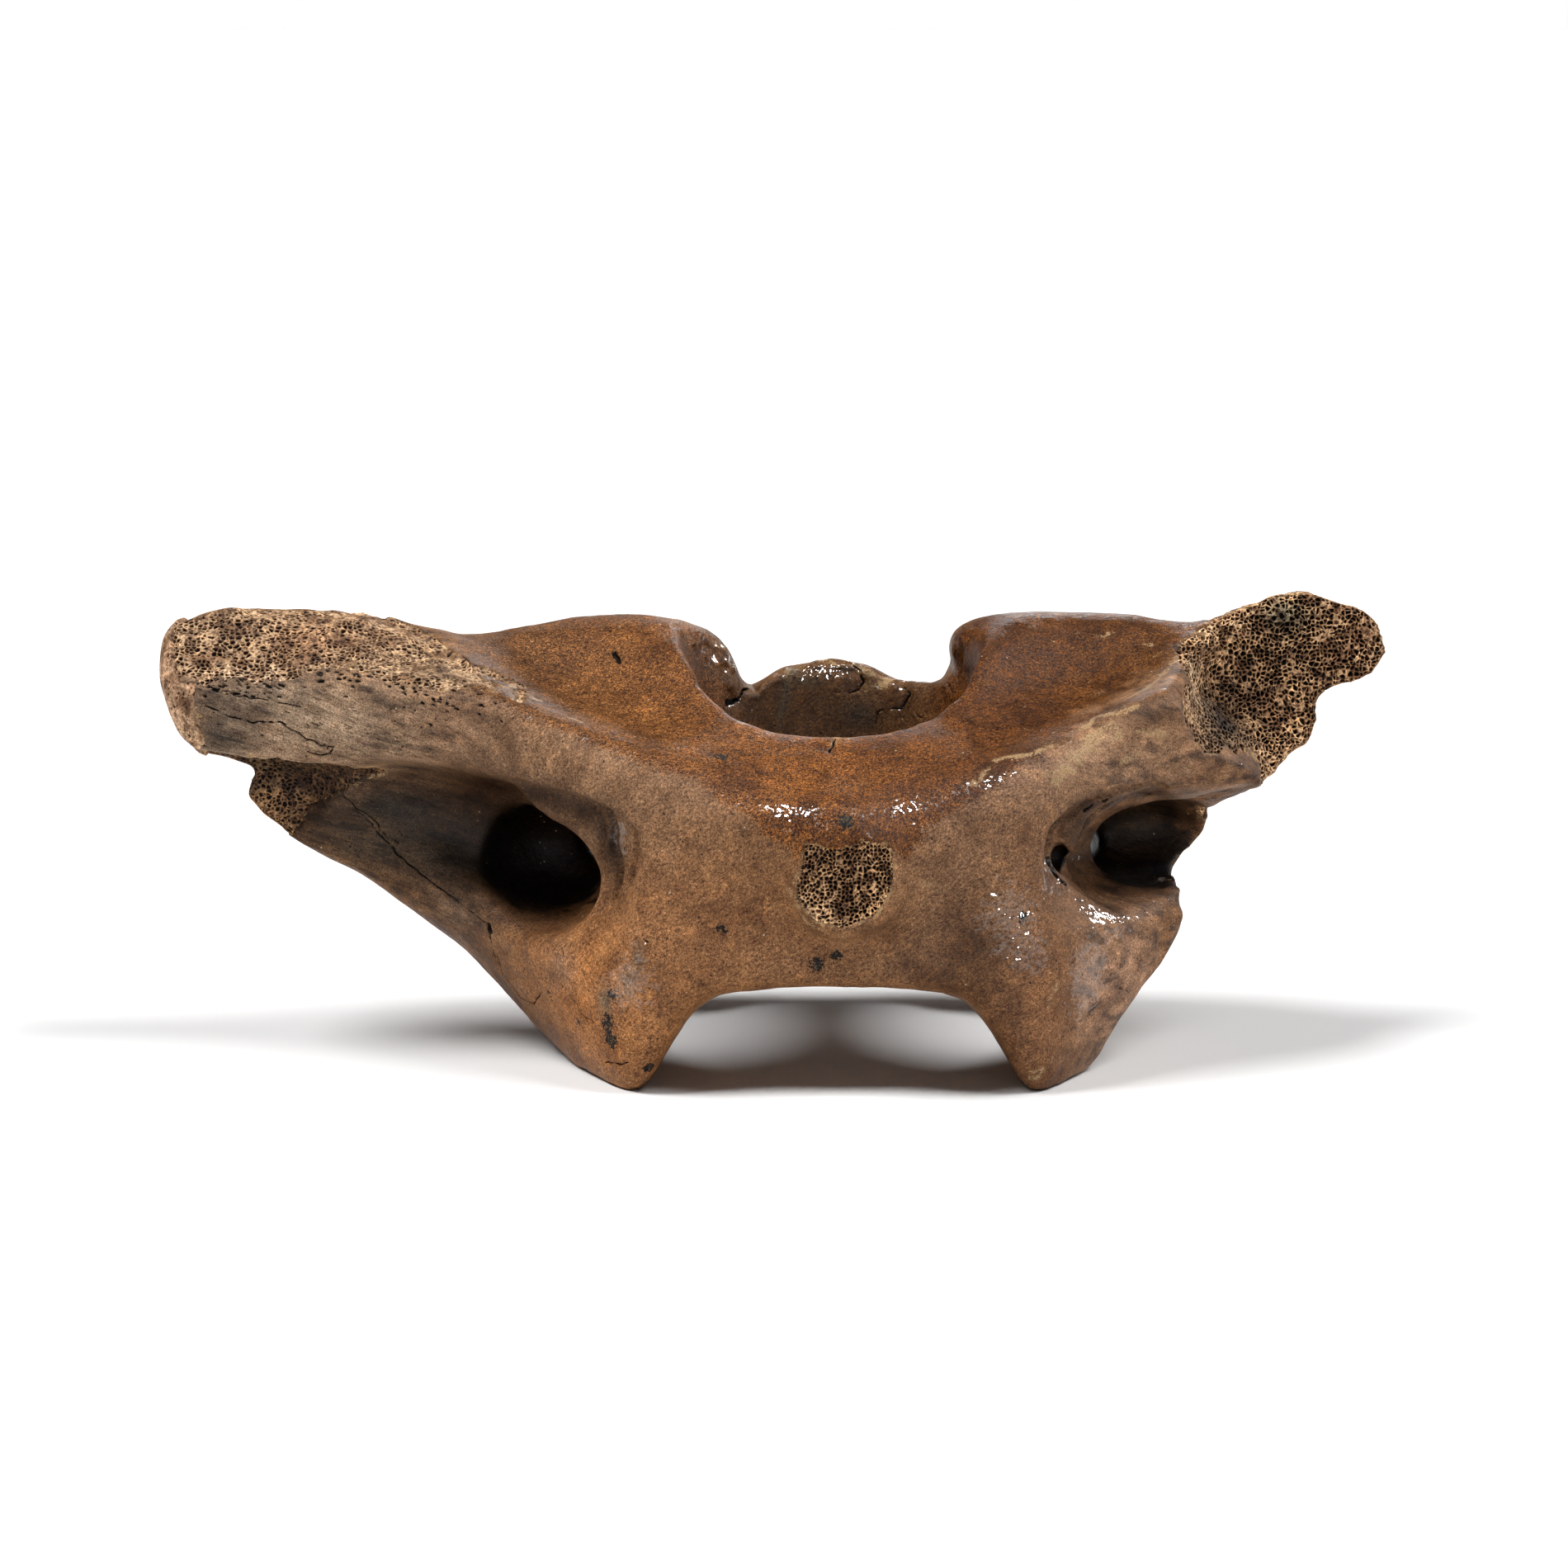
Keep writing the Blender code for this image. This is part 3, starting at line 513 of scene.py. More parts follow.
# The cracks of the bone
# Drying cracks, creases, blood-vessel slots and small pits in the hard skin. They are cut into the fine
# mesh, which is halved near them first: half width, depth and the points that each follows, all in mm.
SKIN_FACES = 196000           # triangles that the finished skin may have
CRACKS = [
    (0.14, 0.6, [(-104.9, -5.5, 65.7), (-100.4, -5.7, 63.4), (-95.8, -5.8, 62.5), (-91.2, -6.4, 62.7),
                 (-89, -6.6, 61.2), (-86.7, -6.7, 59.6), (-83.7, -6.9, 58.4), (-81.5, -7.3, 58.1)]),
    (0.12, 0.5, [(-81.5, -7.3, 58.1), (-82.2, -6.6, 56.9), (-84, -6.2, 56.6), (-86.5, -6.2, 57.0)]),
    (0.10, 0.4, [(-104.9, -4.8, 69.4), (-98.7, -5.9, 67.3), (-91.9, -6.7, 66.6), (-87, -6.7, 65.6)]),
    (0.10, 0.4, [(-78, -6.5, 62.5), (-73, -7.5, 61.6), (-68, -8.5, 60.2)]),
    (0.13, 0.5, [(-80.9, 1.3, 48.3), (-78, 2.8, 44.9), (-75.8, 3.5, 43.2), (-74.1, 4.1, 40.7),
                 (-71, 3.5, 38.2)]),
    (0.15, 0.5, [(-78.8, 2.9, 44.9), (-74.4, 4.3, 39.9), (-69.7, 2.6, 34.8), (-63.3, -1.2, 30.8),
                 (-57.6, -5.7, 27.8), (-53.3, -9.3, 25.1), (-52.9, -8.7, 22.2), (-52.3, -7.9, 18.9)]),
    (0.50, 1.0, [(-53.4, -9.3, 25.2), (-53.2, -9.2, 24.0)]),
    (0.32, 0.9, [(-30.5, 10.8, 73.2), (-29.6, 7.8, 71.7)]),
    (0.18, 0.8, [(10.4, -21, 62.2), (10.2, -21.7, 61.9), (9.7, -23.8, 61.2), (9.3, -26, 60.3)]),
    (0.13, 0.5, [(-39.2, -25.1, 17.6), (-37.2, -27, 15.5), (-35.7, -28.2, 13.2), (-33, -31.1, 11.9)]),
    (0.14, 0.5, [(-51.8, -8.6, 19.1), (-51.1, -7.3, 16.2), (-49.3, -7.9, 13.8), (-47.4, -8.6, 11.3),
                 (-44.9, -13, 11.2), (-43, -18.2, 14.7)]),
    (0.12, 0.4, [(-23.8, -37.5, 28.7), (-22.3, -37.9, 27.7)]),
    (0.07, 0.3, [(-19.1, -37.8, 34), (-20.4, -37.8, 31), (-21.3, -37.9, 28.2)]),
    (0.14, 0.45, [(-31.1, -31.2, 4.7), (-28.9, -34.2, 5.1), (-26.9, -36.4, 5.7)]),
    (0.10, 0.4, [(50.7, -33.9, 9.5), (53.1, -31.7, 11.2), (56.2, -28.5, 13.2), (59.4, -25.1, 15),
                 (62.0, -21.5, 16.4), (64.5, -17.9, 14.6)]),
    (0.16, 0.7, [(14.2, 35.5, 67.4), (15.4, 34.1, 66.3), (16.5, 33.8, 64), (15.4, 33.9, 62.5)]),
    (0.12, 0.4, [(15.4, 33.9, 62.5), (13.1, 34.1, 61.7), (11, 34.2, 62)]),
    (0.14, 0.6, [(25.1, 36, 64), (25.4, 30.5, 62.1), (24.1, 31.1, 60), (23.9, 31.3, 59.4),
                 (21.8, 32.1, 58.9)]),
    (0.09, 0.4, [(21.8, 32.1, 58.9), (19.4, 32.9, 58.5), (18.9, 33.2, 56)]),
    (0.12, 0.5, [(26, 29.9, 59.3), (26.8, 29.3, 58.2), (27.5, 28.6, 57.7)]),
    (0.12, 0.4, [(31.9, 25, 65.8), (32.7, 23.5, 64.4), (33.1, 22.6, 63.3)]),
    (0.24, 1.6, [(-3.6, 33.4, 65.2), (-6.8, 29, 63.1), (-7.7, 28.1, 61.3)]),
    (0.34, 1.4, [(-7.7, 28.1, 61.3), (-9.9, 25.6, 61.2)]),
    (0.55, 2.2, [(48.6, -33, 45.6), (48.2, -33.2, 43.5), (47.9, -33.5, 41.6)]),
    (0.55, 2.0, [(50.8, -30.6, 41.6), (51.4, -29.2, 39.6), (52, -28.3, 37.2)]),
    (0.30, 0.8, [(55.9, -26.2, 49.4), (57.5, -25.2, 50)]),
    (0.32, 0.8, [(59.5, -24.2, 50.9), (60.3, -23.6, 50.9)]),
]
SLOT_COUNT = 110              # small blood-vessel slots that pierce the left wing's beam
PIT_COUNT = 170               # small pits where the sponge of the left wing fades into the skin
SLOT_SEED = 5
BEAM_HEIGHT = 66              # mm above the floor
CRACK_DRIFT = 0.28            # mm that a crack wanders from its line
IN_FRONT = -60                # mm, the y of a place in front of the whole bone


chance = np.random.default_rng(SLOT_SEED)
slots = []
while len(slots) < SLOT_COUNT:
    across = chance.uniform(-106, -50)
    up = BEAM_HEIGHT + chance.normal(0, 4.0)
    hit = tree.ray_cast(Vector((across, IN_FRONT, up)) * MM, Vector((0, 1, 0)))
    length = chance.uniform(0.3, 1.6)
    if hit[0] is None or hit[1].y > -0.2:
        continue
    slope = -0.25 - 0.2 * chance.random()
    centre = np.array(hit[0]) / MM
    reach = np.array([1, -0.1, slope]) * length / 2
    slots.append((chance.uniform(0.06, 0.13), chance.uniform(0.3, 0.5), [centre - reach, centre + reach]))
while len(slots) < SLOT_COUNT + PIT_COUNT:
    across = chance.uniform(-107, -49)
    up = follow(across, NETWORK_LOW) + 0.5 - chance.exponential(1.6)
    hit = tree.ray_cast(Vector((across, IN_FRONT, up)) * MM, Vector((0, 1, 0)))
    if hit[0] is None:
        continue
    centre = np.array(hit[0]) / MM
    reach = np.array([1, -0.1, -0.3]) * chance.uniform(0.1, 0.8) / 2
    slots.append((chance.uniform(0.12, 0.26), chance.uniform(0.4, 0.8), [centre - reach, centre + reach]))

cracks = [(half, depth, laid(line)) for half, depth, line in CRACKS]
grooves = cracks + slots


def close_to(points, line):
    """The points so near to a line that their distance to it counts."""
    middle = np.mean(np.array(line), axis=0)
    span = np.abs(np.array(line) - middle).max() + 2
    return np.nonzero(np.abs(points - middle).max(axis=1) < span)[0]


def beside(points, lines, margin):
    """Which points lie in a groove or within a margin of it, in mm."""
    near = np.zeros(len(points), dtype=bool)
    for half, depth, line in lines:
        close = close_to(points, line)
        near[close] |= to_line(points[close], line) < half + margin
    return near


def subdivide_near(thing, wanted):
    """Halve the squares that touch the wanted points."""
    select_only(thing)
    bpy.ops.object.mode_set(mode="EDIT")
    bpy.ops.mesh.select_mode(type="VERT")
    bpy.ops.mesh.select_all(action="DESELECT")
    bpy.ops.object.mode_set(mode="OBJECT")
    corners = np.empty(len(thing.data.loops), dtype=np.int32)
    thing.data.loops.foreach_get("vertex_index", corners)
    starts = np.empty(len(thing.data.polygons), dtype=np.int32)
    thing.data.polygons.foreach_get("loop_start", starts)
    chosen = np.add.reduceat(wanted[corners].astype(int), starts) > 0
    picked = np.zeros(len(thing.data.vertices), dtype=bool)
    sizes_now = np.diff(np.append(starts, len(corners)))
    picked[corners[np.repeat(chosen, sizes_now)]] = True
    thing.data.vertices.foreach_set("select", picked)
    thing.data.polygons.foreach_set("select", chosen)
    bpy.ops.object.mode_set(mode="EDIT")
    bpy.ops.mesh.select_mode(type="FACE")
    bpy.ops.mesh.subdivide(number_cuts=1)
    bpy.ops.object.mode_set(mode="OBJECT")


def finish_mesh(thing, most):
    """Shade a mesh smooth, bring it down to the triangles that it may have, and keep it in the CAD box."""
    for face in thing.data.polygons:
        face.use_smooth = True
    count = sum(len(face.vertices) - 2 for face in thing.data.polygons)
    if count > most:
        apply_modifier(thing, "fewer", "DECIMATE", decimate_type="COLLAPSE", ratio=most / count)
    print(thing.name, "triangles", sum(len(face.vertices) - 2 for face in thing.data.polygons))
    move_to(thing, np.clip(places(thing), np.array(cad_low) / MM, np.array(cad_high) / MM))


for lines, margin in ((grooves, 0.55), (cracks, 0.3)):
    subdivide_near(bone, beside(places(bone), lines, margin))
grid = places(bone)
drift = wander(grid, 1.4, 31) * CRACK_DRIFT
cut = np.zeros(len(grid))
for half, depth, line in grooves:
    close = close_to(grid, line)
    gap = to_line(grid[close] + drift[close], line)
    cut[close] = np.maximum(cut[close], depth * (1 - rise(gap, half * 0.4, half * 1.5)))
move_to(bone, grid - normals(bone) * cut[:, None])
store(bone, "hollow", np.clip(cut / 0.6, 0, 1))
finish_mesh(bone, SKIN_FACES)

# The stain and painted shade of the bone
# Iron and peat have stained the bone in soft fields, from rust on the ridge to grey on the left wing,
# and a patchy clear lacquer lies over it. Some fields are painted shade: they darken the pockets, the
# underside of the left wing's beam and the low belly, as if shade fell there. Each field is airbrushed:
# middle and reach in mm, colour and strength.
GROUND = (0.175, 0.084, 0.036)
STAINS_AND_SHADE = [
    ((-35, -28, 50), (28, 22, 16), (0.285, 0.160, 0.084), 0.95),
    ((-15, -38, 32), (20, 14, 14), (0.300, 0.138, 0.054), 0.85),
    ((30, -38, 42), (13, 14, 13), (0.260, 0.138, 0.070), 0.85),
    # Painted shade: the low belly right of the knob is darkened, as if less light fell there.
    ((36, -38, 26), (8, 12, 9), (0.085, 0.037, 0.013), 0.88),
    ((62, -25, 57), (26, 22, 8), (0.315, 0.178, 0.098), 0.95),
    ((-84, -4, 63), (34, 18, 9), (0.370, 0.258, 0.166), 0.95),
    ((-58, -12, 63), (12, 14, 7), (0.250, 0.142, 0.080), 0.8),
    ((-104, -5, 60), (7, 9, 9), (0.060, 0.046, 0.034), 0.9),
    ((-92, -5, 68), (10, 8, 3), (0.110, 0.086, 0.064), 0.5),
    # The plate of the left wing below its beam: its own dark grey colour, made darker still by painted shade
    # from the beam above.
    ((-70, 2, 45), (24, 14, 8), (0.017, 0.015, 0.012), 0.97),
    ((-62, -2, 36), (14, 14, 7), (0.045, 0.032, 0.021), 0.85),
    ((-76, 3, 37), (12, 12, 3.5), (0.070, 0.045, 0.024), 0.8),
    ((-58, -4, 27), (8, 12, 4), (0.120, 0.082, 0.054), 0.7),
    # Painted shade: the deep insides of the two pockets are darkened, as shade falls in them.
    ((-46, 2, 38), (13, 22, 9), (0.040, 0.019, 0.007), 0.9),
    ((60, 6, 40), (11, 20, 7), (0.045, 0.022, 0.009), 0.8),
    ((-32, -28, 16), (17, 18, 15), (0.400, 0.165, 0.050), 0.9),
    ((48, -36, 20), (10, 10, 20), (0.225, 0.102, 0.042), 0.85),
    ((62, -22, 15), (9, 14, 14), (0.380, 0.215, 0.125), 0.9),
    ((4, 34, 60), (34, 9, 14), (0.135, 0.058, 0.015), 0.95),
    ((-108, 0, 64), (4, 12, 14), (0.270, 0.165, 0.100), 0.7),
    # Partly the dark brown colour of the pockets and partly painted shade: the roof of the left pocket under
    # the beam, the plate and lower rim inside it, its inner walls and the funnel of the right pocket.
    ((-53, -3, 49), (14, 18, 7.5), (0.030, 0.012, 0.004), 0.98),
    ((-57, 0, 41), (9, 12, 8), (0.028, 0.014, 0.006), 0.90),
    ((-45, -8, 28), (10, 10, 3.5), (0.100, 0.045, 0.018), 0.80),
    ((-43, -20, 51.5), (11, 12, 3.4), (0.026, 0.010, 0.003), 0.98),
    ((-34.5, -27, 49.5), (5.5, 7, 3.6), (0.034, 0.014, 0.005), 0.95),
    ((-30, -28, 43), (3.4, 6, 9), (0.034, 0.015, 0.006), 0.95),
    ((54, -25, 46), (5.5, 9, 7), (0.060, 0.027, 0.011), 0.92),
    ((65, -16, 51), (11, 9, 2.6), (0.060, 0.028, 0.012), 0.9),
    ((2.8, 36, 65.8), (1.4, 3, 0.9), (0.190, 0.165, 0.110), 0.8),
    ((1.6, 33.4, 62.4), (0.7, 3, 2.6), (0.160, 0.140, 0.090), 0.8),
    ((0.4, 32.6, 57.5), (0.6, 3, 3.0), (0.130, 0.112, 0.070), 0.75),
    ((5.4, 34, 64.2), (2.2, 3, 0.7), (0.150, 0.130, 0.082), 0.7),
    ((16, 33.5, 57.5), (4, 3, 3.0), (0.045, 0.040, 0.028), 0.7),
    ((-30.9, -34, 16.6), (1.5, 4, 3.0), (0.130, 0.120, 0.085), 0.75),
    ((-26.6, -37, 21), (1.2, 4, 2.4), (0.140, 0.125, 0.090), 0.6),
    ((-24.9, -37.4, 25.5), (0.9, 4, 3.0), (0.150, 0.130, 0.090), 0.5),
    ((-39, -25, 21), (3, 8, 4.5), (0.230, 0.140, 0.088), 0.6),
]
# The lower edge of the rusty band along the ridge, in x and z, and its colour along x.
BAND_EDGE = [(-60, 71.5), (-48, 67), (-36, 63.2), (-27, 60.7), (-16, 57.6), (-6, 52.1), (-0.7, 47.5),
             (3.4, 44.8), (22.8, 44.8), (24.8, 47.5), (30.2, 51.7), (39.6, 56.2), (44.5, 60.0), (55, 64.9),
             (65, 69.2), (74, 73.4), (84, 80)]
RUST = [(-60, (0.142, 0.063, 0.021)), (-25, (0.175, 0.068, 0.017)), (10, (0.182, 0.064, 0.012)),
        (40, (0.096, 0.031, 0.005)), (84, (0.104, 0.038, 0.007))]
# Pale worn edges (reach and points), dark mineral spots (reach and middle), and thick lacquer (middle
# and reach).
PALE = [
    (2.3, [(49.6, -31.5, 57.1), (52.2, -29.6, 58.7), (54.7, -27.6, 60.9), (56.9, -25.2, 63.1),
           (59.9, -24.1, 64.1)]),
    (1.0, [(64.9, -23.2, 63.7), (70, -20.6, 62.8)]),
    (0.9, [(61.8, -25, 58.7), (64.5, -23.4, 59.5)]),
    (0.8, [(35.2, -35.8, 56.5), (37.8, -32.2, 59.2), (40.4, -30.3, 60.3), (45.7, -29.9, 60.9),
           (49.9, -26.4, 62.5)]),
    (1.1, [(55, -22.5, 64.3), (57.8, -18.5, 65.6), (62, -21.5, 66.7), (64.6, -20.9, 67.8)]),
    (1.3, [(63.5, -15, 68.2), (66.7, -12.4, 69.5), (70.3, -4.8, 70.9), (73.9, 2.1, 73.4)]),
    (0.8, [(70.6, 6.1, 73.5), (71.5, 6.5, 73.8)]),
    (0.7, [(60.4, 14.3, 75.5), (63.6, 14.7, 76.3)]),
    (0.6, [(68.5, 10.2, 74.6), (70.5, 10, 74.8)]),
    (1.1, [(-54, -3, 71), (-52, -3.4, 70.7), (-45.6, -9.6, 68.3), (-43, -12, 67.5)]),
    (0.8, [(-37.3, -19.1, 65.5), (-35, -21, 64.7)]),
    (1.5, [(45.9, -36.6, 3.4), (46.3, -36.6, 4.6)]),
    (0.8, [(50.1, -35.5, 20.1), (48.3, -36.7, 16.6)]),
    (0.9, [(2.2, -44, 39), (5.5, -44, 33), (11.3, -44, 31), (17.8, -44, 33.3), (20.9, -44, 38.8)]),
    (1.1, [(27, -40, 33), (31, -40, 30)]),
    (0.9, [(24, -40, 27), (29, -39, 24.5)]),
    (0.9, [(25, -41, 40), (31, -39.5, 38)]),
    (1.5, [(15, 35.1, 67.1), (17.3, 33.8, 65.6), (20.2, 33.1, 64.9), (21.9, 33.6, 64.5)]),
    (0.9, [(17.3, 33.6, 63.5), (19.7, 33.1, 63.3)]),
    (0.9, [(-12.2, 25.3, 73.5), (-10.4, 27.2, 71.6), (-9.1, 28.8, 69.5), (-8.8, 28, 68)]),
    (0.7, [(33.5, 28, 72.5), (32.6, 29.9, 69.7), (32.8, 24.1, 68.3)]),
    (0.7, [(5, 36, 67), (9.1, 36.9, 67.8), (11.5, 34.8, 67.2)]),
    (0.7, [(10.7, -20.5, 62.3), (9.7, -23.8, 61.2)]),
    (0.8, [(-104, -3, 54.8), (-100, -3, 54.6)]),
]
MINERAL = [
    (1.5, (-10.1, -28.6, 60.1)), (1.7, (12, -45.3, 51.2)), (1.2, (10.5, -40.3, 26.4)),
    (1.4, (7.1, -39.8, 24.5)), (1.8, (-30.4, -33.9, 12.6)), (1.7, (-30.2, -34.3, 9.6)),
    (1.0, (-29.5, -35.4, 17.8)), (1.1, (-22.9, -37, 4.9)), (0.9, (-41.4, -20.9, 14.5)),
    (0.9, (-9.9, -38.2, 30.8)), (0.9, (-35.9, -27.3, 10.9)), (0.9, (43.6, -37.4, 32.9)),
]
GLOSS = [
    ((1.5, -42, 52.5), (4.6, 8, 3.4)), ((22.9, -41, 53), (2.2, 7, 2.6)), ((60, -21, 31), (6, 8, 3.5)),
    ((54.8, -18, 34.5), (4, 12, 4)), ((42, -37.7, 32), (6, 6, 7)), ((49.4, -31.5, 38.7), (3, 5, 4)),
    ((-46.6, -6, 27.9), (5, 6, 2.5)), ((-28.5, -31, 45), (1.6, 4, 5)), ((9.9, 34.7, 66.5), (6, 5, 2)),
    ((22.4, 31.9, 60.7), (4, 4, 3)), ((-8, 27.6, 59.8), (3, 4, 3)), ((-11, 26, 68), (4, 5, 5)),
    ((56, -30, 20), (5, 6, 9)), ((-26, -36, 22), (5, 4, 8)), ((38, -34, 57.5), (4, 6, 2)),
    ((59, -24, 29), (6, 6, 4)), ((45, -38, 27), (4, 6, 5)),
]
LOOKS = 44                    # ways that are tried from each point to find how sheltered it is
SHELTER_REACH = 26.0          # mm within which other bone shelters a point
LIFT = 0.4                    # mm above the surface that the tries start from
GRAZING = 0.15                # ways flatter than this to the surface aren't tried
DEEPEST_SHADE = 0.86          # how much darker the painted shade makes the most sheltered places


def airbrush(points, ground, fields):
    """A colour for each point, from a ground colour and soft fields over it."""
    tone = np.tile(np.array(ground), (len(points), 1))
    for middle, reach, colour, strength in fields:
        fade = strength * np.exp(-(((points - middle) / reach) ** 2).sum(axis=1))
        tone += (np.array(colour) - tone) * fade[:, None]
    return tone


def paint(thing, name, colours):
    """Keep one colour for each point, for the materials to read."""
    layer = thing.data.attributes.get(name) or thing.data.attributes.new(name, "FLOAT_COLOR", "POINT")
    layer.data.foreach_set("color", np.c_[colours, np.ones(len(colours))].astype(np.float32).ravel())


def sheltered(points, out):
    """The share of the open side of each point that other bone hides."""
    turn = np.arange(LOOKS) * math.pi * (3 - math.sqrt(5))
    up = 1 - 2 * (np.arange(LOOKS) + 0.5) / LOOKS
    flat = np.sqrt(1 - up * up)
    ways = np.stack([np.cos(turn) * flat, np.sin(turn) * flat, up], axis=1)
    facing_it = out @ ways.T
    rays = [Vector(way) for way in ways]
    hidden = np.zeros(len(points))
    for index in range(len(points)):
        start = Vector((points[index] + LIFT * out[index]) * MM)
        total = 0.0
        blocked = 0.0
        for look in np.nonzero(facing_it[index] > GRAZING)[0]:
            weight = facing_it[index, look]
            total += weight
            if tree.ray_cast(start, rays[look], SHELTER_REACH * MM)[0] is not None:
                blocked += weight
        hidden[index] = blocked / total
    return hidden


at = places(bone)
out = normals(bone)
tone = airbrush(at, GROUND, STAINS_AND_SHADE)
band = rise(at[:, 2] - follow(at[:, 0], BAND_EDGE) + 1.1 * waves(at, 2.6, 41) + 0.5 * waves(at, 1.0, 42),
            -1.0, 1.0)
band *= rise(at[:, 0], -64, -52) * (1 - rise(at[:, 0], 84, 90)) * (1 - rise(at[:, 1], 22, 30))
rust = np.stack([follow(at[:, 0], [(x, shade[k]) for x, shade in RUST]) for k in range(3)], axis=1)
tone += (rust - tone) * band[:, None]
# Painted shade: the colour is darkened where other bone hides much of the open side of a point, as shade
# falls in pockets, creases and under the wings.
shelter = sheltered(at, out)
tone *= (1 - DEEPEST_SHADE * rise(shelter, 0.28, 0.72))[:, None]
paint(bone, "stain_and_shade", tone)
pale = np.zeros(len(at))
for reach, line in PALE:
    pale = np.maximum(pale, 1 - rise(to_line(at, line), reach * 0.2, reach * 1.6))
store(bone, "pale", np.maximum(pale, 0.7 * read(bone, "lip")))
spot = np.zeros(len(at))
for reach, middle in MINERAL:
    spot = np.maximum(spot, 1 - rise(np.linalg.norm(at - middle, axis=1), reach * 0.5, reach * 1.5))
store(bone, "mineral", spot)
store(bone, "wing", rise(np.abs(at[:, 0]), 45, 60) * (1 - band))
store(bone, "rust", band)
gloss = np.zeros(len(at))
for middle, reach in GLOSS:
    gloss = np.maximum(gloss, np.exp(-(((at - middle) / reach) ** 2).sum(axis=1)))
store(bone, "gloss", gloss)


def add(tree, kind, settings=None, **wired):
    """Add a node, set it, and wire or fill its inputs by name."""
    made = tree.nodes.new(kind)
    for key, value in (settings or {}).items():
        setattr(made, key, value)
    for key, value in wired.items():
        socket = made.inputs[int(key[1:])] if key[0] == "n" and key[1:].isdigit() else made.inputs[key]
        if isinstance(value, bpy.types.NodeSocket):
            tree.links.new(value, socket)
        else:
            socket.default_value = value
    return made


def maths(tree, operation, *values):
    """One sum on numbers."""
    wired = {f"n{index}": value for index, value in enumerate(values)}
    return add(tree, "ShaderNodeMath", {"operation": operation}, **wired).outputs[0]


def laid_over(tree, factor, below, above, kind="MIX"):
    """Lay one colour over another, by a factor from 0 to 1."""
    made = add(tree, "ShaderNodeMix", {"data_type": "RGBA", "blend_type": kind})
    for index, value in ((0, factor), (6, below), (7, above)):
        if isinstance(value, bpy.types.NodeSocket):
            tree.links.new(value, made.inputs[index])
        else:
            made.inputs[index].default_value = value
    return made.outputs[2]


def tinted(tree, factor, colour, tint):
    """Darken or warm a colour by a tint where the factor is 1."""
    return laid_over(tree, factor, colour, tint + (1,), "MULTIPLY")


def between(tree, value, low, high):
    """A number spread smoothly from 0 at low to 1 at high."""
    made = add(tree, "ShaderNodeMapRange", {"interpolation_type": "SMOOTHSTEP"}, Value=value)
    made.inputs["From Min"].default_value = low
    made.inputs["From Max"].default_value = high
    return made.outputs["Result"]


def cloud(tree, place, size, detail=4.0, rough=0.6, stretch=None, turn=(0, 0, 0)):
    """Noise whose lumps are about size mm, or longer along one way."""
    if stretch:
        place = add(tree, "ShaderNodeMapping", {"vector_type": "TEXTURE"}, Vector=place, Rotation=turn,
                    Scale=stretch).outputs[0]
    made = add(tree, "ShaderNodeTexNoise", Vector=place, Scale=1000.0 / size, Detail=detail, Roughness=rough)
    return made.outputs["Fac"]


def dots(tree, place, size, width, share):
    """Scattered round dots: the cell that each has, its width in it, and the share of cells with one."""
    made = add(tree, "ShaderNodeTexVoronoi", {"feature": "F1"}, Vector=place, Scale=1000.0 / size)
    draw = add(tree, "ShaderNodeSeparateColor", Color=made.outputs["Color"])
    return maths(tree, "MULTIPLY", between(tree, made.outputs["Distance"], width * 1.3, width * 0.7),
                 between(tree, draw.outputs[1], 1 - share, 1.02 - share))


def reading(tree, name, colour=False):
    """A value that was kept for each point."""
    made = add(tree, "ShaderNodeAttribute", {"attribute_name": name})
    return made.outputs["Color" if colour else "Fac"]


def around(tree, value, middle, strength):
    """How far a number is from its middle, made stronger."""
    return maths(tree, "MULTIPLY", maths(tree, "SUBTRACT", value, middle), strength)


SKIN_GLARE = 0.09
SKIN_RELIEF = 0.40            # mm
LACQUER_RIPPLE = 0.42         # mm
LACQUER_ROUGHNESS = 0.035
PIT_DIRT = (0.018, 0.010, 0.006, 1)
CRACK_DIRT_AND_SHADE = (0.006, 0.004, 0.003, 1)

fossil = bpy.data.materials.new("fossil_bone_skin")
fossil.use_nodes = True
net = fossil.node_tree
shader = net.nodes["Principled BSDF"]
here = add(net, "ShaderNodeTexCoord").outputs["Object"]
soft = cloud(net, here, 9.0, 3.0)
mid = cloud(net, here, 2.6, 6.0, 0.68)
fine = cloud(net, here, 0.50, 4.0, 0.7)
grit = cloud(net, here, 0.24, 2.0, 0.6)
streak = cloud(net, here, 0.40, 4.0, 0.65, stretch=(7.0, 1.4, 1.0), turn=(0, 0.26, 0))
fibre = cloud(net, here, 0.40, 4.0, 0.65, stretch=(3.0, 1.4, 1.0), turn=(0, -0.6, 0))
bands = cloud(net, here, 2.2, 3.0, 0.55, stretch=(6.0, 1.5, 1.0), turn=(0, 0.24, 0))
wing = reading(net, "wing")
rust = reading(net, "rust")
grain = add(net, "ShaderNodeMix", {"data_type": "FLOAT"}, n0=wing, n2=fibre, n3=streak).outputs[0]
calm = maths(net, "SUBTRACT", maths(net, "ADD", 0.52, maths(net, "MULTIPLY", rust, 0.48)),
             maths(net, "MULTIPLY", wing, 0.30))
keen = maths(net, "ADD", 0.55, maths(net, "MULTIPLY", rust, 0.45))

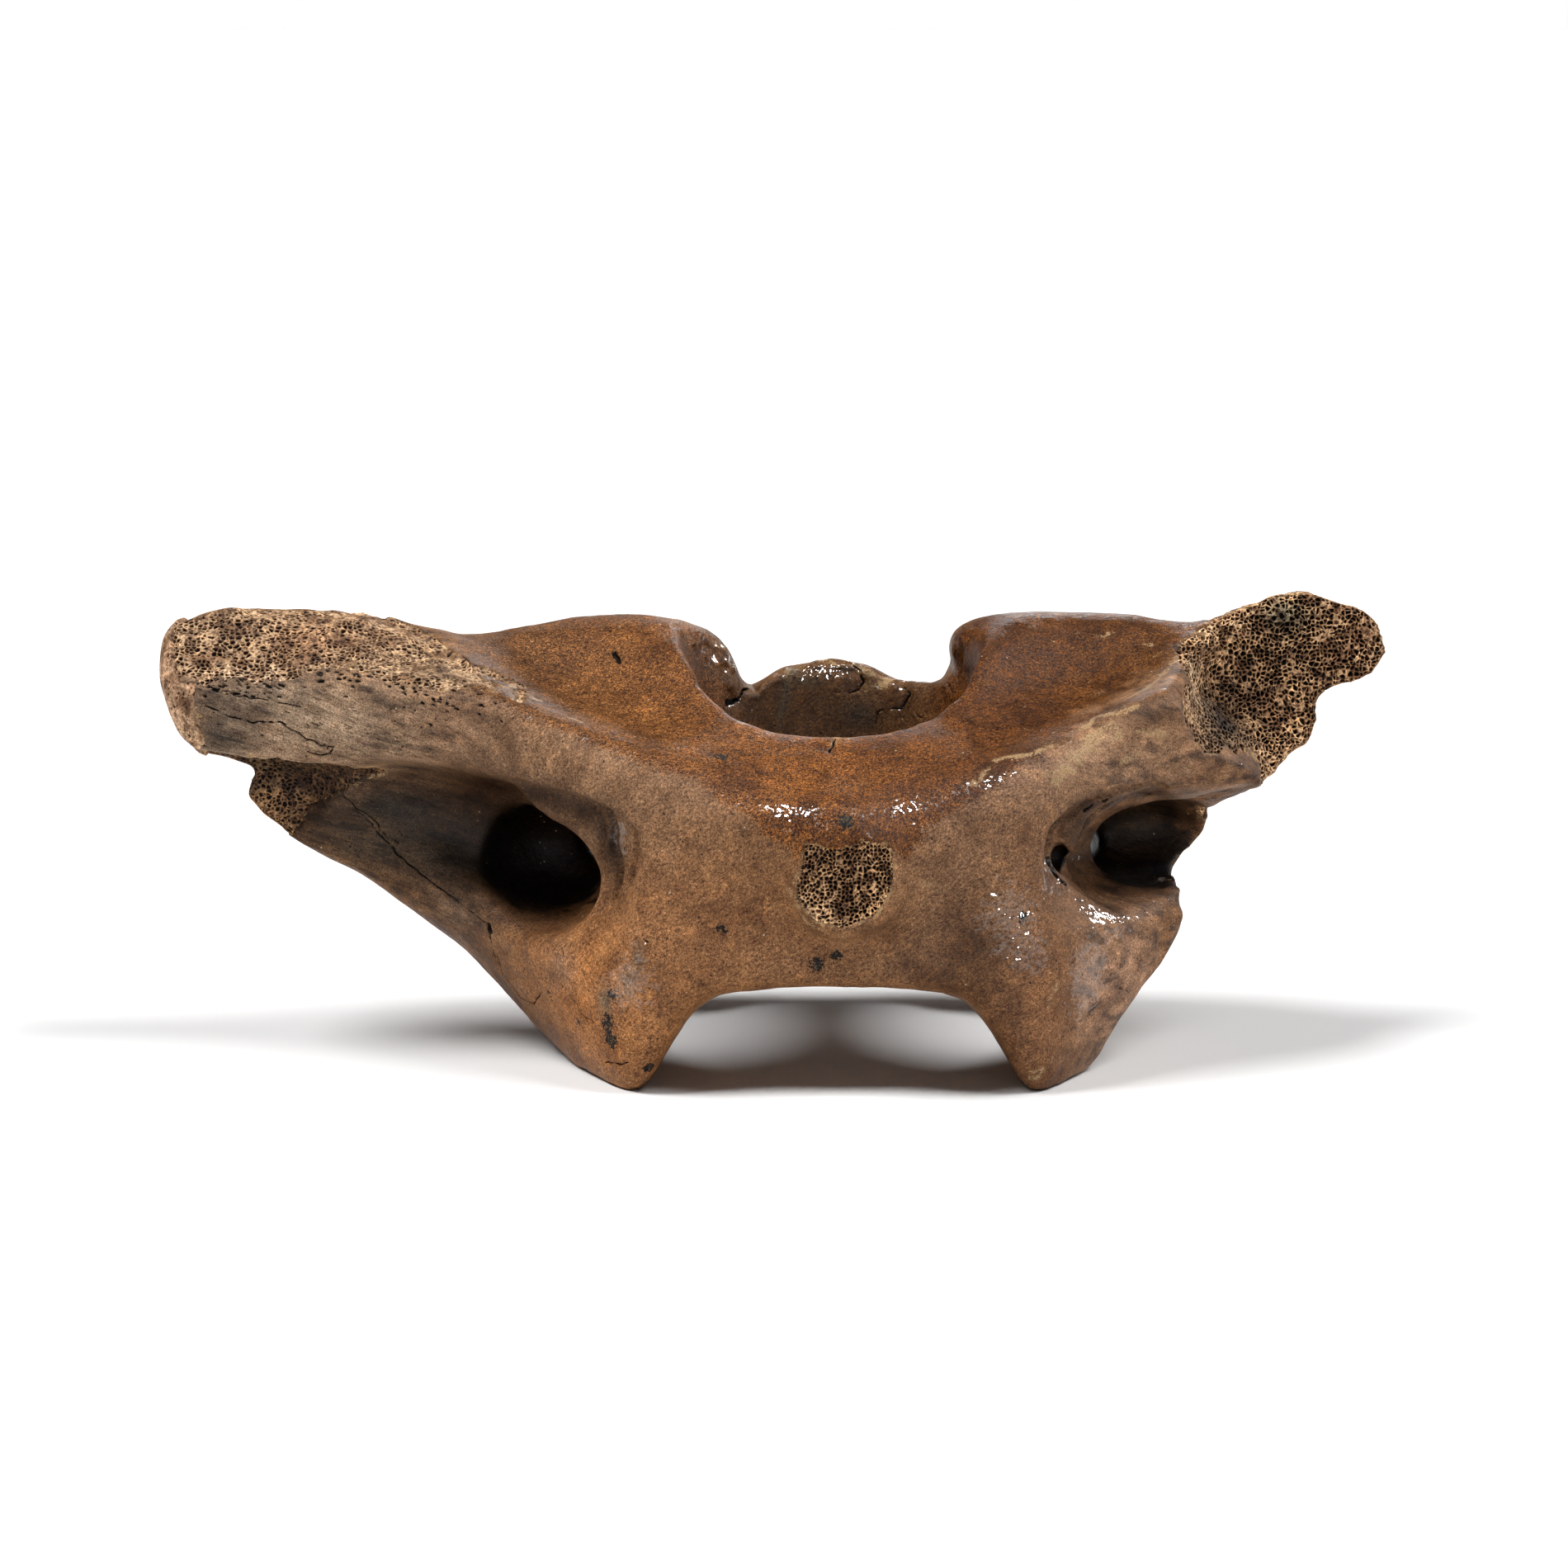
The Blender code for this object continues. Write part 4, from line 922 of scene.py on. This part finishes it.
colour = reading(net, "stain_and_shade", colour=True)
for held_by, part, low, high, tint in (
        (None, soft, 0.46, 0.70, (0.62, 0.58, 0.56)),
        (None, soft, 0.50, 0.30, (1.22, 1.24, 1.26)),
        (wing, bands, 0.52, 0.66, (0.45, 0.46, 0.50)),
        (wing, bands, 0.48, 0.36, (1.45, 1.48, 1.50)),
        (None, mid, 0.50, 0.66, (1.35, 1.30, 1.22)),
        (keen, mid, 0.48, 0.33, (0.55, 0.50, 0.48)),
        (calm, fine, 0.52, 0.59, (0.30, 0.24, 0.22)),
        (calm, fine, 0.47, 0.39, (1.75, 1.75, 1.75)),
        (keen, grit, 0.51, 0.59, (0.26, 0.20, 0.18)),
        (keen, grit, 0.48, 0.36, (1.75, 1.75, 1.75)),
        (None, grain, 0.54, 0.64, (0.52, 0.47, 0.46)),
        (None, grain, 0.42, 0.32, (1.45, 1.52, 1.58))):
    factor = between(net, part, low, high)
    if held_by is not None:
        factor = maths(net, "MULTIPLY", held_by, factor)
    colour = tinted(net, factor, colour, tint)
colour = laid_over(net, dots(net, here, 1.3, 0.13, 0.05), colour, (0.50, 0.37, 0.23, 1))
pit = dots(net, here, 1.15, 0.17, 0.10)
colour = laid_over(net, maths(net, "MULTIPLY", pit, 0.85), colour, PIT_DIRT)
worn = reading(net, "pale")
for part, strength in ((fine, 2.4), (mid, 3.0), (grain, 1.6)):
    worn = maths(net, "ADD", worn, around(net, part, 0.5, strength))
worn = between(net, worn, 0.66, 1.05)
colour = laid_over(net, maths(net, "MULTIPLY", worn, 0.85), colour,
                   laid_over(net, between(net, grit, 0.45, 0.6), (0.44, 0.29, 0.145, 1),
                             (0.26, 0.155, 0.070, 1)))
mineral = maths(net, "ADD", reading(net, "mineral"), around(net, fine, 0.5, 2.8))
mineral = between(net, maths(net, "ADD", mineral, around(net, grit, 0.5, 1.6)), 0.50, 0.66)
colour = laid_over(net, mineral, colour, laid_over(net, between(net, fine, 0.44, 0.52),
                                                   (0.060, 0.045, 0.028, 1), (0.006, 0.004, 0.003, 1)))
# Dirt and painted shade: cracks and slots are painted near black, the more so the deeper they are cut.
colour = laid_over(net, between(net, reading(net, "hollow"), 0.1, 0.8), colour, CRACK_DIRT_AND_SHADE)
net.links.new(colour, shader.inputs["Base Color"])
blotch = around(net, cloud(net, here, 1.1, 4.0, 0.7), 0.5, 2.6)
wet = between(net, maths(net, "ADD", reading(net, "gloss"), blotch), 0.42, 0.62)
net.links.new(maths(net, "ADD", 0.42, around(net, mid, 0.5, 0.5)), shader.inputs["Roughness"])
shader.inputs["Specular IOR Level"].default_value = SKIN_GLARE
shader.inputs["Coat Roughness"].default_value = LACQUER_ROUGHNESS
net.links.new(maths(net, "ADD", maths(net, "MULTIPLY", rust, 0.04), wet), shader.inputs["Coat Weight"])
height = mid
for part, share in ((fine, 0.45), (grit, 0.16), (grain, 0.25), (pit, -0.8), (mineral, -0.5)):
    height = maths(net, "ADD", height, maths(net, "MULTIPLY", part, share))
relief = add(net, "ShaderNodeBump", Strength=1.0, Distance=SKIN_RELIEF * MM, Height=height)
net.links.new(relief.outputs[0], shader.inputs["Normal"])
ripple = add(net, "ShaderNodeBump", Strength=1.0, Distance=LACQUER_RIPPLE * MM,
             Height=cloud(net, here, 1.5, 1.0, 0.4))
net.links.new(ripple.outputs[0], shader.inputs["Coat Normal"])
bone.data.materials.clear()
bone.data.materials.append(fossil)
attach(bone, "root")
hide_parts("vertebra")

# The sponge of the breaks
# Struts and walls of old bone around open cells, browned by the ground. It is grown in one with the bone.
# Each patch is a block that sits in the hollow of its break, and its cells are cut into its open side.
SPONGES = {
    # cell, stretch of the cells along x, y and z, wall, depth, unevenness (mm), share filled, cuts, seed
    "right_wing_sponge": (0.84, (1.0, 2.2, 1.0), 0.10, 2.2, 0.8, 0.03, 2, 11),
    "left_wing_sponge": (0.64, (1.6, 1.3, 1.0), 0.10, 1.4, 1.2, 0.16, 2, 12),
    "scar_sponge": (0.72, (1.3, 1.0, 1.0), 0.11, 1.0, 0.6, 0.06, 2, 13),
    "knob_sponge": (0.74, (1.0, 1.3, 1.0), 0.08, 1.7, 0.5, 0.05, 2, 14),
    "left_end_sponge": (0.60, (1.0, 1.0, 1.3), 0.22, 0.5, 0.15, 0.55, 1, 15),
    "rim_sponge": (0.70, (1.0, 1.0, 1.0), 0.09, 0.7, 0.3, 0.05, 2, 16),
}
MOST_FACES = 186000           # triangles that one patch may have
ROOT = 0.9                    # mm that a patch goes down below the sunk skin
BEND = 0.4                    # how far the rows of cells wander, as a share of a cell
CURL = 0.16                   # how far each wall curls, as a share of a cell
SILL = 0.30                   # mm over which a wall falls into its hole
BLIND = 0.25                  # how deep a filled cell still is, as a share of an open one
SPONGE_STAINS_AND_SHADE = {
    "right_wing_sponge": ((0.620, 0.390, 0.205), [
        ((95, 14.5, 79.5), (5, 6, 3.6), (0.180, 0.175, 0.115), 0.9),
        # Painted shade: the low middle of the right wing's break, under the overhang of the skin, is
        # darkened as if in shade.
        ((82.5, 4, 61.5), (8, 16, 7), (0.024, 0.012, 0.004), 0.97),
        ((92, 8, 66), (9, 12, 8), (0.240, 0.130, 0.055), 0.75),
        ((82, 10, 77), (7, 8, 5), (0.720, 0.480, 0.270), 0.7),
        ((77.5, -2, 71.5), (2.2, 6, 4), (0.600, 0.480, 0.320), 0.9),
        ((110, 14, 74), (5, 6, 7), (0.480, 0.280, 0.160), 0.6)]),
    "left_wing_sponge": ((0.500, 0.330, 0.190), [
        ((-86, 3, 76), (8, 8, 4), (0.330, 0.165, 0.075), 0.80),
        ((-62, -6, 71), (9, 9, 4), (0.300, 0.200, 0.115), 0.8),
        ((-102, 6, 77), (8, 7, 5), (0.260, 0.160, 0.085), 0.85),
        ((-95, -4, 70.5), (10, 4, 2), (0.620, 0.440, 0.290), 0.8),
        ((-80, -3, 73), (8, 5, 3), (0.420, 0.280, 0.160), 0.7)]),
    "scar_sponge": ((0.200, 0.105, 0.044), [
        ((-96, 2, 43.5), (8, 10, 4.5), (0.480, 0.270, 0.120), 0.9),
        ((-92, 0, 52), (15, 14, 4.4), (0.050, 0.030, 0.013), 0.96),
        ((-104, -3, 54.5), (4, 9, 2.0), (0.300, 0.210, 0.120), 0.6)]),
    "rim_sponge": ((0.560, 0.340, 0.180), []),
    "knob_sponge": ((0.560, 0.350, 0.180), [
        ((6, -45, 34), (5, 5, 4), (0.620, 0.420, 0.240), 0.6)]),
    "left_end_sponge": ((0.370, 0.230, 0.136), [
        ((-108, 0, 57), (4, 9, 4), (0.660, 0.460, 0.280), 0.8),
        ((-112, 4, 68), (4, 9, 6), (0.400, 0.240, 0.150), 0.6)]),
}


def keep_points(thing, kept):
    """Cut a mesh down to the faces that touch the kept points."""
    shell = bmesh.new()
    shell.from_mesh(thing.data)
    gone = [face for face in shell.faces if not any(kept[point.index] for point in face.verts)]
    bmesh.ops.delete(shell, geom=gone, context="FACES")
    shell.to_mesh(thing.data)
    shell.free()


def cells(points, size, seed):
    """Distance to the wall between the two nearest cell centres, and a random number for the cell."""
    scaled = points / size
    home = np.floor(scaled)
    first = np.full(len(points), 1e9)
    second = np.full(len(points), 1e9)
    nearest = np.zeros((len(points), 3))
    next_one = np.zeros((len(points), 3))
    chance = np.zeros(len(points))
    for corner in range(27):
        step = np.array([corner % 3 - 1, corner // 3 % 3 - 1, corner // 9 - 1])
        draw = scatter(home + step, seed)
        centre = home + step + 0.1 + 0.8 * draw
        away = ((centre - scaled) ** 2).sum(axis=1)
        closer = away < first
        also = ~closer & (away < second)
        second = np.where(closer, first, np.where(also, away, second))
        next_one = np.where(closer[:, None], nearest, np.where(also[:, None], centre, next_one))
        first = np.where(closer, away, first)
        nearest = np.where(closer[:, None], centre, nearest)
        chance = np.where(closer, draw[:, 1], chance)
    across = next_one - nearest
    length = np.maximum(np.linalg.norm(across, axis=1), 1e-6)
    wall = ((0.5 * (nearest + next_one) - scaled) * across).sum(axis=1) / length
    return wall * size, chance


def sponge(name):
    """One patch of open sponge that fills the hollow of its break."""
    size, stretch, wall, depth, uneven, filled, cuts, seed = SPONGES[name]
    within = BREAKS[name](skin, facing, rough_edge)
    patch = copy_of(unbroken, name)
    store(patch, "within", within)
    store(patch, "thick", depth_here)
    keep_points(patch, within > -1.0)
    bpy.context.view_layer.update()
    select_only(patch)
    bpy.ops.object.mode_set(mode="EDIT")
    bpy.ops.mesh.select_all(action="SELECT")
    bpy.ops.mesh.subdivide(number_cuts=cuts)
    bpy.ops.object.mode_set(mode="OBJECT")
    base = places(patch)
    out = normals(patch)
    inner = read(patch, "within")
    thick = read(patch, "thick")
    count = len(base)
    warped = base + wander(base, 2.3, seed + 1) * size * BEND
    warped += wander(base, 0.8, seed + 7) * size * CURL
    away, chance = cells(warped / stretch, size, seed)
    width = wall * (0.3 + 1.4 * rise(waves(base, 1.4, seed + 5), -1, 1))
    open_cell = rise(away, width * 0.5 - 0.02, width * 0.5 + SILL)
    open_cell *= np.where(chance < filled, BLIND, 1.0)
    limit = np.minimum(1, thick * 0.45 / (depth + 0.5))
    drop = 0.1 + 0.2 * (cuts - 1) + uneven * (0.5 + 0.5 * waves(base, 4.2, seed + 6)) * rise(inner, 0.0, 2.0)
    hole = open_cell * depth * (0.5 + 0.5 * chance) * rise(inner, -0.2, 0.5)
    drop = drop * limit + 1.6 * np.clip(-inner, 0, 2)
    back = base - out * np.minimum(RECESS + ROOT, thick * 0.46)[:, None]
    front = base - out * drop[:, None]
    # The holes of a steep break run inwards from the front, so that they stay open to it.
    inwards = -out + np.array([0, 1, 0]) * ((stretch[1] - 1) * rise(-out[:, 1], 0.05, 0.4))[:, None]
    inwards /= np.linalg.norm(inwards, axis=1)[:, None]
    front += inwards * (hole * limit)[:, None]
    move_to(patch, front)
    store(patch, "open_cell", open_cell)
    shell = bmesh.new()
    shell.from_mesh(patch.data)
    rim = [edge for edge in shell.edges if edge.is_boundary]
    twin = bmesh.ops.duplicate(shell, geom=shell.verts[:] + shell.edges[:] + shell.faces[:])
    shell.verts.index_update()
    turned = [item for item in twin["geom"] if isinstance(item, bmesh.types.BMFace)]
    for face in turned:
        face.normal_flip()
    matched = twin["vert_map"]
    for index, point in enumerate(list(shell.verts)[:count]):
        matched[point].co = back[index] * MM
    for edge in rim:
        loop = edge.link_loops[0]
        one, two = loop.vert, loop.link_loop_next.vert
        shell.faces.new([two, one, matched[one], matched[two]])
    shell.to_mesh(patch.data)
    shell.free()
    finish_mesh(patch, MOST_FACES)
    return patch


WALL_ROUGHNESS = 0.55
WALL_GLARE = 0.12
WALL_RELIEF = 0.15            # mm
CELL_SHADE = (0.004, 0.0025, 0.0015, 1)

open_bone = bpy.data.materials.new("open_sponge")
open_bone.use_nodes = True
net = open_bone.node_tree
shader = net.nodes["Principled BSDF"]
here = add(net, "ShaderNodeTexCoord").outputs["Object"]
soft = cloud(net, here, 5.0, 3.0)
mid = cloud(net, here, 1.6, 4.0, 0.65)
fine = cloud(net, here, 0.45, 4.0, 0.7)
wall = reading(net, "open_cell")
colour = reading(net, "stain_and_shade", colour=True)
# Noise tints the walls at random. The last tint is painted shade: the sides of each wall darken as they fall
# into its hole, and the crest stays lighter.
for part, low, high, tint in (
        (soft, 0.47, 0.62, (0.48, 0.40, 0.34)),
        (soft, 0.45, 0.36, (1.30, 1.32, 1.34)),
        (mid, 0.50, 0.62, (0.40, 0.33, 0.28)),
        (mid, 0.47, 0.36, (1.60, 1.58, 1.52)),
        (fine, 0.48, 0.60, (0.55, 0.48, 0.43)),
        (fine, 0.46, 0.36, (1.45, 1.45, 1.45)),
        (wall, 0.00, 0.16, (0.38, 0.26, 0.16))):
    colour = tinted(net, between(net, part, low, high), colour, tint)
# Painted shade: the holes of the cells are painted near black, as shade falls in them.
colour = laid_over(net, between(net, wall, 0.12, 0.55), colour, CELL_SHADE)
net.links.new(colour, shader.inputs["Base Color"])
shader.inputs["Roughness"].default_value = WALL_ROUGHNESS
shader.inputs["Specular IOR Level"].default_value = WALL_GLARE
relief = add(net, "ShaderNodeBump", Strength=0.8, Distance=WALL_RELIEF * MM, Height=fine)
net.links.new(relief.outputs[0], shader.inputs["Normal"])

for name in BREAKS:
    patch = sponge(name)
    ground, fields = SPONGE_STAINS_AND_SHADE[name]
    paint(patch, "stain_and_shade", airbrush(places(patch), ground, fields))
    patch.data.materials.clear()
    patch.data.materials.append(open_bone)
    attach(patch, "root")
bpy.data.objects.remove(unbroken)

# The sizes
# The box of the finished bone, in metres. The box of the CAD model was found at the start.
low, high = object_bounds()
